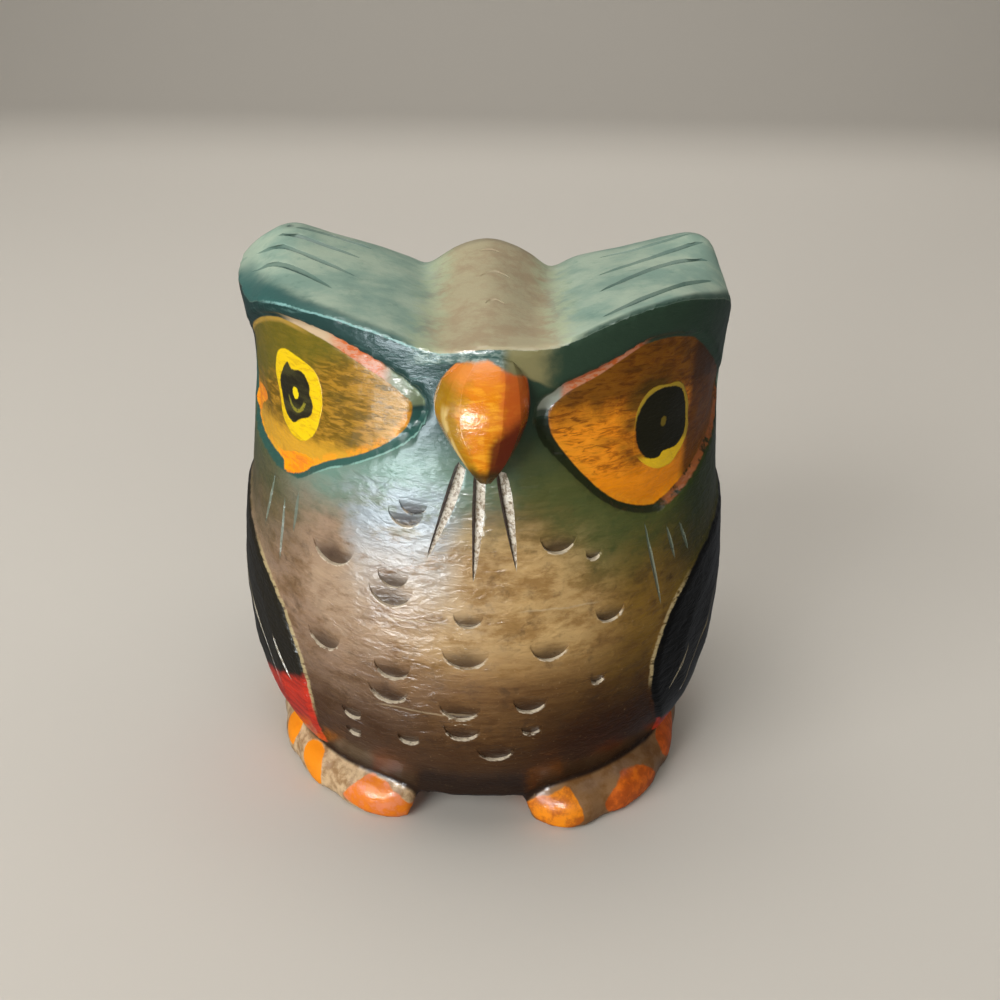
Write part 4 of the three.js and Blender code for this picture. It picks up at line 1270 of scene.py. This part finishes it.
# %% [markdown]
# Round each eye patch runs the slanting stroke. Along the top it is pink and orange, partly paint
# and partly a painted highlight where the light catches it. Below it is dark green, partly paint
# and partly painted shade. Under the left one runs a thin pale teal line that is partly wear and
# partly a painted highlight.

# %% Strokes round the eyes
eye_edge = measured("eye")
eye_rim = measured("eye_rim")
eye_up = measured("eye_up")
outside = soft(eye_edge, 0.1, -0.1)
in_stroke = both(soft(eye_rim, -0.25, 0.0), outside)
# The lower stroke: dark green, partly paint and partly painted shade.
lower_colour = coat(stain(34, 40, 16), stain(44, 84, 76), cool)
paint = coat(paint, lower_colour, in_stroke, soft(eye_up, 0.2, -0.2), 0.9)
# A thin pale teal line on the lower rim: partly wear, partly a painted highlight.
off_rim = off_line(eye_rim, -0.15)
rim_light = both(soft(wavered(off_rim, speck, 0.2), 0.18, 0.05), soft(eye_up, 0.2, -0.2), cool,
                 soft(azimuth_out, 44.0, 34.0), soft(small_blotch, 0.34, 0.5))
paint = coat(paint, stain(140, 184, 170), rim_light, 0.7)
# The upper stroke: pink, orange and pale cream, partly paint and partly a painted highlight.
narrow = soft(wavered(eye_edge, small_blotch, 0.8), -2.8, -2.3)
corner_end = soft(eye_edge, -1.9, -1.5)
narrow = coat(narrow, corner_end, soft(azimuth_out, 24.0, 20.0))
upper_stroke = both(in_stroke, soft(eye_up, 0.2, 0.45), narrow)
pink = coat(stain(206, 104, 44), stain(206, 142, 108), soft(ripple, 0.42, 0.56))
pink = coat(pink, stain(168, 66, 30), soft(eye_rim, 0.9, 0.3), 0.6)
pink = coat(pink, stain(206, 180, 146), cool, soft(azimuth_out, 30.0, 36.0))
pink = coat(pink, stain(118, 130, 98), cool, soft(azimuth_out, 22.5, 19.0))
pink = coat(pink, stain(164, 170, 156), without(cool), soft(azimuth_out, 16.5, 14.5))
fade_out = coat(soft(azimuth_out, 36.0, 32.0), soft(azimuth_out, 50.0, 44.0), cool)
paint = coat(paint, pink, upper_stroke, fade_out, 0.95)

lip_pink = both(in_stroke, without(cool), soft(eye_up, 0.1, -0.3), soft(azimuth_out, 42.0, 46.0))
paint = coat(paint, stain(170, 96, 50), lip_pink, soft(small_blotch, 0.35, 0.5), 0.75)
print("nodes after the strokes:", len(tree.nodes))

# %% [markdown]
# The left patch is ochre and the right one orange, dragged on sideways with a nearly dry brush,
# so the strokes show. Both are darker high up, as painted shade, and brighter low down, as
# painted light.

# %% Eye patches
side_eye = soft(at_x, -1.0, 1.0)
left_patch = coat(stain(112, 84, 12), stain(172, 126, 34), soft(drag, 0.4, 0.64))
left_patch = coat(left_patch, stain(84, 72, 14), soft(broad_drag, 0.48, 0.68), 0.5)
near_beak = both(soft(azimuth_out, 31.0, 22.0), soft(drag, 0.34, 0.56))
left_patch = coat(left_patch, stain(196, 142, 44), near_beak, 0.5)
right_patch = coat(stain(214, 116, 6), stain(250, 156, 24), soft(drag, 0.4, 0.62))
right_patch = coat(right_patch, stain(110, 62, 4), soft(drag, 0.5, 0.34), 0.5)
right_patch = coat(right_patch, stain(104, 64, 8), soft(broad_drag, 0.5, 0.66), 0.45)
right_patch = coat(right_patch, stain(255, 160, 30), near_beak, 0.6)
patch = coat(left_patch, right_patch, side_eye)
eye_across = measured("eye_across")
eye_height = measured("eye_height")
outwards = sum_up("MULTIPLY", eye_across, coat((1, 1, 1, 1), (-1, -1, -1, 1), side_eye))
# Painted shade on the high part of each patch.
high_part = wavered(added(eye_height, outwards, -0.35), small_blotch, 5.0)
painted_shade_high = coat(stain(102, 96, 24), stain(62, 40, 4), side_eye)
patch = coat(patch, painted_shade_high, soft(high_part, 1.0, 6.0), 0.8)
# Painted light on the low part of each patch.
low_part = wavered(eye_height, small_blotch, 4.0)
painted_light_low = coat(stain(228, 168, 44), stain(255, 150, 2), side_eye)
patch = coat(patch, painted_light_low, soft(low_part, -4.5, -8.0), 0.8)
low_rim = both(soft(eye_edge, 1.3, 0.4), soft(eye_up, 0.2, -0.4))
patch = coat(patch, stain(246, 156, 24), low_rim, soft(small_blotch, 0.4, 0.6), 0.85)
cream_rim = both(soft(eye_edge, 0.9, 0.3), soft(eye_up, 0.3, 0.7), without(side_eye))
patch = coat(patch, stain(190, 150, 66), cream_rim, soft(eye_across, 6.0, 0.0), 0.75)
halo = both(soft(measured("ring"), -4.0, -0.6), side_eye, soft(eye_across, 3.0, -2.0),
            soft(eye_height, -7.0, -4.0))
patch = coat(patch, stain(58, 50, 10), halo, soft(broad_drag, 0.66, 0.4), 0.7)
patch = coat(patch, stain(62, 34, 8), side_eye, soft(eye_across, 5.0, 8.0), 0.85)
paint = coat(paint, patch, soft(wavered(eye_edge, small_blotch, 0.3), -0.2, 0.05))
blob = soft(wavered(measured("blob"), speck, 0.5), -0.1, 0.15)
paint = coat(paint, coat(stain(250, 158, 14), stain(236, 132, 30), soft(drag, 0.4, 0.6)), blob)
print("nodes after the patches:", len(tree.nodes))

# %% [markdown]
# Rings and pupils were put on with the tip of the brush: a thick yellow ring on the
# viewer's left, a thin broken one on the right, thick only at its foot.

# %% Rings and pupils
ring_line = wavered(measured("ring"), small_blotch, 0.45)
pupil_line = wavered(measured("pupil"), speck, 0.35)
yellow = coat(stain(240, 200, 4), stain(216, 172, 14), soft(drag, 0.45, 0.65))
thin_yellow = coat(stain(176, 146, 40), stain(250, 204, 26), soft(eye_height, -3.5, -5.0))
yellow = coat(yellow, thin_yellow, side_eye)
on_ring = soft(ring_line, -0.12, 0.12)
gap = both(side_eye, soft(eye_across, -2.4, -3.6), soft(eye_height, 2.0, -0.5),
           soft(eye_height, -5.6, -4.2))
paint = coat(paint, yellow, on_ring, without(gap))
pupil_paint = coat(stain(40, 36, 22), stain(66, 62, 34), soft(broad_drag, 0.45, 0.65))
pupil_paint = coat(pupil_paint, stain(32, 30, 14), side_eye)
paint = coat(paint, pupil_paint, soft(pupil_line, -0.12, 0.12))
print("nodes after the pupils:", len(tree.nodes))

# %% [markdown]
# In each pupil a dot was touched in: bright yellow on the left, with a broken yellow
# arc under it, and dull brown on the right.

# %% Dots
across_dot = sum_up("MULTIPLY", eye_across, 1.25)
dot_far = sum_up("SQRT", sum_up("ADD", sum_up("POWER", across_dot, 2.0),
                                sum_up("POWER", eye_height, 2.0)))
dot_far = wavered(dot_far, speck, 0.5)
paint = coat(paint, stain(238, 208, 10), soft(dot_far, 1.05, 0.8), without(side_eye))
paint = coat(paint, stain(120, 100, 26), soft(dot_far, 0.95, 0.6), side_eye)
arc_far = off_line(dot_far, 2.7)
arc = both(soft(arc_far, 0.42, 0.2), soft(eye_height, -0.6, -1.4), without(side_eye),
           soft(pupil_line, 0.0, 0.5))
paint = coat(paint, stain(150, 140, 40), arc, soft(speck, 0.35, 0.5), 0.85)
print("nodes after the dots:", len(tree.nodes))

# %% [markdown]
# The beak is orange, olive yellow down its left bevel, and deep red brown at its lower
# right, where shade and thick varnish gathered. Its tip is olive.

# %% Beak paint
beak_edge = measured("beak")
beak_across = measured("beak_across")
right_of = sum_up("MAXIMUM", sum_up("SUBTRACT", at_x, 0.2), sum_up("MULTIPLY", at_x, -0.3))
beak_top = added(at_z, right_of, 0.5)
on_beak = both(soft(beak_edge, 0.0, 0.3), soft(wavered(beak_top, small_blotch, 0.8), 82.0, 81.6))
beak_paint = coat(stain(216, 124, 8), stain(234, 158, 30), soft(drag, 0.42, 0.64))
beak_paint = coat(beak_paint, stain(132, 104, 14),
                  soft(wavered(beak_across, small_blotch, 0.7), -0.2, -0.7), 0.8)
beak_paint = coat(beak_paint, stain(222, 128, 46),
                  soft(wavered(at_z, small_blotch, 3.0), 77.5, 80.5), 0.75)
beak_paint = coat(beak_paint, stain(196, 88, 34),
                  soft(wavered(beak_across, small_blotch, 0.5), 0.3, 0.6), 0.85)
under_right = added(sum_up("MULTIPLY", at_z, -1.0), beak_across, 4.0)
beak_paint = coat(beak_paint, stain(86, 26, 12),
                  soft(wavered(under_right, small_blotch, 2.0), -73.0, -70.5),
                  soft(beak_across, 0.05, 0.3), 0.9)
beak_paint = coat(beak_paint, stain(48, 40, 12),
                  soft(wavered(at_z, small_blotch, 1.5), 69.4, 67.2), 0.9)
paint = coat(paint, beak_paint, on_beak)
# A cream line down the left bevel: partly pale paint, partly a painted highlight on the edge.
cream = both(soft(off_line(beak_across, -0.78), 0.11, 0.03), soft(at_z, 68.0, 70.0),
             soft(at_z, 77.0, 75.5), soft(small_blotch, 0.3, 0.5))
paint = coat(paint, stain(222, 196, 130), cream, on_beak, 0.6)
print("nodes after the beak:", len(tree.nodes))

# %% [markdown]
# Above the beak the brow is silvery green on the viewer's left and tan on the right,
# where the tan of the crown was brushed down over the edge.

# %% Bridge over the beak
bridge = both(soft(wavered(beak_top, small_blotch, 1.0), 81.4, 82.0), without(on_top),
              soft(far_out, 34.0, 37.0))
silver = both(bridge, soft(at_x, 3.5, 1.0), soft(at_x, -11.0, -8.0))
paint = coat(paint, coat(stain(70, 100, 92), stain(150, 168, 158), soft(ripple, 0.42, 0.62)),
             silver, 0.9)
tan = both(bridge, soft(at_x, 1.5, 3.5), soft(wavered(at_x, small_blotch, 3.0), 10.0, 6.0))
paint = coat(paint, stain(142, 134, 90), tan, 0.85)
print("nodes after the bridge:", len(tree.nodes))

# %% [markdown]
# Last the knife walls. The whiskers show a dark wall, partly painted shade, beside a silvery one,
# partly a painted reflection. The breast cuts show a pale lower wall and lip, partly bare wood
# and partly a painted highlight, under a bed darkened with painted shade. A few level scratches
# cross the breast.

# %% Paint on the cut walls, and scratches
# The wide whisker wall: partly pale wood, partly a painted reflection.
paint = coat(paint, coat(stain(142, 124, 102), stain(216, 206, 188), soft(speck, 0.38, 0.58)),
             measured("whisker_pale"), 0.9)
# The steep whisker wall: partly dark paint, partly painted shade.
paint = coat(paint, stain(48, 20, 11), measured("whisker_dark"), 0.94)
sunk = measured("sunk")
lip = wavered(measured("lip"), speck, 0.35)
# The lip under each gouge: partly pale worn wood, partly a painted highlight.
lip_line = both(soft(off_line(lip, 0.08), 0.22, 0.06),
                soft(wavered(measured("lip_low"), blotch, 1.0), 0.4, 0.85),
                soft(ripple, 0.42, 0.54), soft(at_y, 0.0, -5.0))
paint = coat(paint, stain(220, 206, 182), lip_line, 0.7)
# The lower wall of each gouge: partly pale wood, partly a painted highlight.
paint = coat(paint, stain(214, 198, 170), measured("scallop_wall"), soft(small_blotch, 0.36, 0.5),
             0.8)
# Painted shade in the bed of each gouge, darker where it is sunk deeper.
paint = coat(paint, stain(48, 32, 22), measured("scallop_bed"), soft(sunk, 0.0, 0.5), 0.8)
paint = coat(paint, stain(128, 142, 128), measured("cheek"), 0.65)
SCRATCHES = [(-9.5, -2.4, 53.2), (-18.4, -2.0, 42.1), (-21.5, -2.1, 26.2), (8.0, 24.0, 44.3)]
for start, end, height in SCRATCHES:
    reach = both(soft(round_az, start - 1.5, start + 1.5), soft(round_az, end + 1.5, end - 1.5))
    scratch_gap = off_line(wavered(at_z, blotch, 1.6), height)
    mark = both(reach, soft(scratch_gap, 0.22, 0.08), soft(at_y, 0.0, -5.0))
    paint = coat(paint, stain(188, 168, 134), mark, 0.35)
print("nodes after the cut walls:", len(tree.nodes))

# %% [markdown]
# The surface carries faint tool lines, low waves from the knife on the breast, the nap
# of the grain and the drag of the brush on the eyes, and the yellow rings stand thick.
# All of it is one height, in shares of the bump's distance.

# %% Relief under the varnish
lines = mottle(0.9, stretch=(7, 7, 0.4), detail=4, rough=0.6, seed=15.0)
on_breast = both(soft(at_z, 12.0, 20.0), soft(at_z, 68.0, 62.0))
waves = mottle(2.0, stretch=(1.5, 1.5, 0.65), detail=3, rough=0.5, swirl=0.8, seed=19.0)
relief = both(lines, added(0.03, on_breast, 0.04))
relief = added(relief, both(waves, on_breast), 1.4)
relief = added(relief, both(ripple, without(on_wing)), 0.3)
relief = added(relief, speck, 0.12)
relief = added(relief, both(on_ring, soft(pupil_line, 0.2, -0.2)), 0.35)
relief = added(relief, both(drag, soft(eye_edge, -0.2, 0.3)), 0.35)
BUMP_STRENGTH = 0.8
BUMP_HEIGHT = 0.26
bump = tree.nodes.new("ShaderNodeBump")
bump.inputs["Strength"].default_value = BUMP_STRENGTH
bump.inputs["Distance"].default_value = BUMP_HEIGHT * MM
put(bump.inputs["Height"], relief)
print("bump height in mm:", BUMP_HEIGHT)

# %% [markdown]
# Over the paint lies a satin varnish. Its roughness varies a little, so the reflection
# breaks up as on hand-varnished wood: duller on the head top and toes, glossier on the
# beak. A second, clear coat is how thick varnish shines over the paint's own dull sheen.

# %% Varnish
SPECULAR = 0.12
VARNISH_WEIGHT = 0.5
VARNISH_ROUGHNESS = 0.22
gloss = added(0.24, small_blotch, 0.22)
gloss = added(gloss, on_top, 0.12)
gloss = added(gloss, on_beak, -0.12)
gloss = added(gloss, on_toe, 0.25)

shader = tree.nodes.new("ShaderNodeBsdfPrincipled")
put(shader.inputs["Base Color"], paint)
put(shader.inputs["Roughness"], gloss)
put(shader.inputs["Normal"], bump.outputs["Normal"])
put(shader.inputs["Coat Normal"], bump.outputs["Normal"])
shader.inputs["Specular IOR Level"].default_value = SPECULAR
shader.inputs["Coat Weight"].default_value = VARNISH_WEIGHT
shader.inputs["Coat Roughness"].default_value = VARNISH_ROUGHNESS
output = tree.nodes.new("ShaderNodeOutputMaterial")
tree.links.new(shader.outputs["BSDF"], output.inputs["Surface"])
body.materials.append(finish)
print("finish:", len(tree.nodes), "nodes")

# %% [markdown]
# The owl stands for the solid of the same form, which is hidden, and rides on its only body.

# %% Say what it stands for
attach(owl, "root")
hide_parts("carved_owl")
print("materials on the owl:", len(body.materials))

# %% [markdown]
# The owl stands on a plain pale floor that bends up behind it, so the main view has no
# hard line where the floor ends. The far edge of a plane is pulled up and the bend is
# rounded with a bevel. The varnish doesn't mirror the floor, because that would grey the
# dark paint.

# %% Floor
FLOOR_SIZE = 6
FLOOR_FORWARD = -1.4
FLOOR_RISE = 2.5
FLOOR_BEND = 0.7
FLOOR_STEPS = 16
clear_selection()
bpy.ops.mesh.primitive_plane_add(size=FLOOR_SIZE, location=(0, FLOOR_FORWARD, 0))
floor = bpy.context.object
floor.name = "floor"
bpy.ops.object.mode_set(mode="EDIT")
mesh = bmesh.from_edit_mesh(floor.data)
for edge in mesh.edges:
    edge.select_set(all(vert.co.y > 0 for vert in edge.verts))
bpy.ops.mesh.extrude_region_move(TRANSFORM_OT_translate={"value": (0, 0, FLOOR_RISE)})
bpy.ops.object.mode_set(mode="OBJECT")
bpy.ops.object.transform_apply(location=True, rotation=True, scale=True)
finish_modifier(floor, "BEVEL", width=FLOOR_BEND, segments=FLOOR_STEPS, limit_method="ANGLE")
bpy.ops.object.shade_smooth()
floor_paint = bpy.data.materials.new("pale_floor")
floor_paint.use_nodes = True
floor_shader = floor_paint.node_tree.nodes["Principled BSDF"]
floor_shader.inputs["Base Color"].default_value = stain(200, 194, 184)
floor_shader.inputs["Roughness"].default_value = 0.6
floor_shader.inputs["Specular IOR Level"].default_value = 0.0
floor.data.materials.append(floor_paint)
floor.visible_glossy = False
floor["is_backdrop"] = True
print("floor:", len(floor.data.polygons), "faces")

# %% [markdown]
# The light is a soft window from the upper left with a smaller one low beside it, a
# large soft light from above, and weak ones from the right and from behind. The sheen on
# the breast and on the beak comes from two small lamps that show only as reflections,
# the first low and close on the left and the second far off in front. The last lamp
# lights the rising floor behind the owl.

# %% Lamps
WHITE = (1.0, 1.0, 1.0)
OWL_MIDDLE = (0, 0, 0.05)


def window(name, where, aim, size, power, colour=WHITE, sheen_only=False):
    lamp = bpy.data.lights.new(name, "AREA")
    lamp.shape = "RECTANGLE"
    lamp.size, lamp.size_y = size
    lamp.energy = power
    lamp.color = colour
    holder = bpy.data.objects.new(name, lamp)
    bpy.context.scene.collection.objects.link(holder)
    holder.location = where
    holder.visible_diffuse = not sheen_only
    aim_line = Vector(aim) - Vector(where)
    holder.rotation_euler = aim_line.to_track_quat("-Z", "Y").to_euler()
    return holder


window("soft_light", (-0.55, -0.5, 0.42), OWL_MIDDLE, (0.4, 0.4), 3.8)
window("window_light", (-0.45, -0.75, 0.16), OWL_MIDDLE, (0.2, 0.2), 3.2, (0.9, 0.95, 1.0))
window("breast_sheen", (-0.1, -0.16, 0.025), (-0.012, -0.039, 0.057), (0.08, 0.04), 0.28,
       (0.84, 0.93, 1.0), True)
window("beak_sheen", (-0.146, -0.872, 0.40), (0, -0.045, 0.075), (0.06, 0.13), 9.0,
       WHITE, True)
fill = window("fill_light", (0.5, -0.8, 0.4), OWL_MIDDLE, (0.5, 0.5), 1.4)
rear = window("back_light", (0.0, 0.95, 0.4), (0, 0, 0.06), (1.4, 0.5), 1.8)
for matt_lamp in (fill, rear):
    matt_lamp.visible_glossy = False
window("top_light", (-0.1, 0.0, 1.0), OWL_MIDDLE, (0.6, 0.6), 3.0)
window("backdrop_light", (0.0, 0.3, 1.3), (0, 1.3, 0.2), (2.4, 1.0), 10.0)
print("lamps:", len(bpy.data.lights))

# %% [markdown]
# The room adds a little light from all round. A light path node tells rays from the
# camera apart, so what the camera sees of the room straight can be set paler than what
# lights the owl.

# %% Room
ROOM_LIGHT = 0.08
ROOM_SEEN = 0.55
world = bpy.data.worlds.new("room_light")
world.use_nodes = True
room_nodes = world.node_tree.nodes
room_links = world.node_tree.links
dim_room = room_nodes["Background"]
dim_room.inputs["Color"].default_value = (0.9, 0.92, 0.95, 1)
dim_room.inputs["Strength"].default_value = ROOM_LIGHT
pale_room = room_nodes.new("ShaderNodeBackground")
pale_room.inputs["Color"].default_value = (0.9, 0.88, 0.84, 1)
pale_room.inputs["Strength"].default_value = ROOM_SEEN
ray = room_nodes.new("ShaderNodeLightPath")
room = room_nodes.new("ShaderNodeMixShader")
room_links.new(ray.outputs["Is Camera Ray"], room.inputs["Fac"])
room_links.new(dim_room.outputs["Background"], room.inputs[1])
room_links.new(pale_room.outputs["Background"], room.inputs[2])
room_links.new(room.outputs["Shader"], room_nodes["World Output"].inputs["Surface"])
bpy.context.scene.world = world
bpy.context.scene.view_settings.view_transform = "Standard"
print("room nodes:", len(room_nodes))

# %% [markdown]
# The camera looks down at the owl as the photograph does, with its slight tilt. Its
# focal length is given in widths of the picture, and the owl's axis lies a little left
# of the middle, so the lens is shifted.

# %% Camera
FOCAL = 0.964
AXIS_COLUMN = 0.484
PITCH = 26.1
ROLL = 1.1
CAMERA_PLACE = (0, -0.159, 0.120)
SENSOR = 36
lens = bpy.data.cameras.new("camera")
lens.sensor_width = SENSOR
lens.lens = SENSOR * FOCAL
lens.shift_x = 0.5 - AXIS_COLUMN
lens.clip_start = 0.01
camera = bpy.data.objects.new("camera", lens)
bpy.context.scene.collection.objects.link(camera)
camera.location = CAMERA_PLACE
camera.rotation_mode = "QUATERNION"
look = Vector((0, np.cos(np.radians(PITCH)), -np.sin(np.radians(PITCH))))
tilt = look.to_track_quat("-Z", "Y")
camera.rotation_quaternion = tilt @ Quaternion((0, 0, 1), np.radians(ROLL))
bpy.context.scene.camera = camera
print("camera at", CAMERA_PLACE, "with a lens of", round(lens.lens, 1), "mm")

# %% [markdown]
# Last, the owl's box is measured and printed.

# %% Finish
low, high = [[float(value) for value in corner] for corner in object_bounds()]
print("owl's box in metres:", low, high)
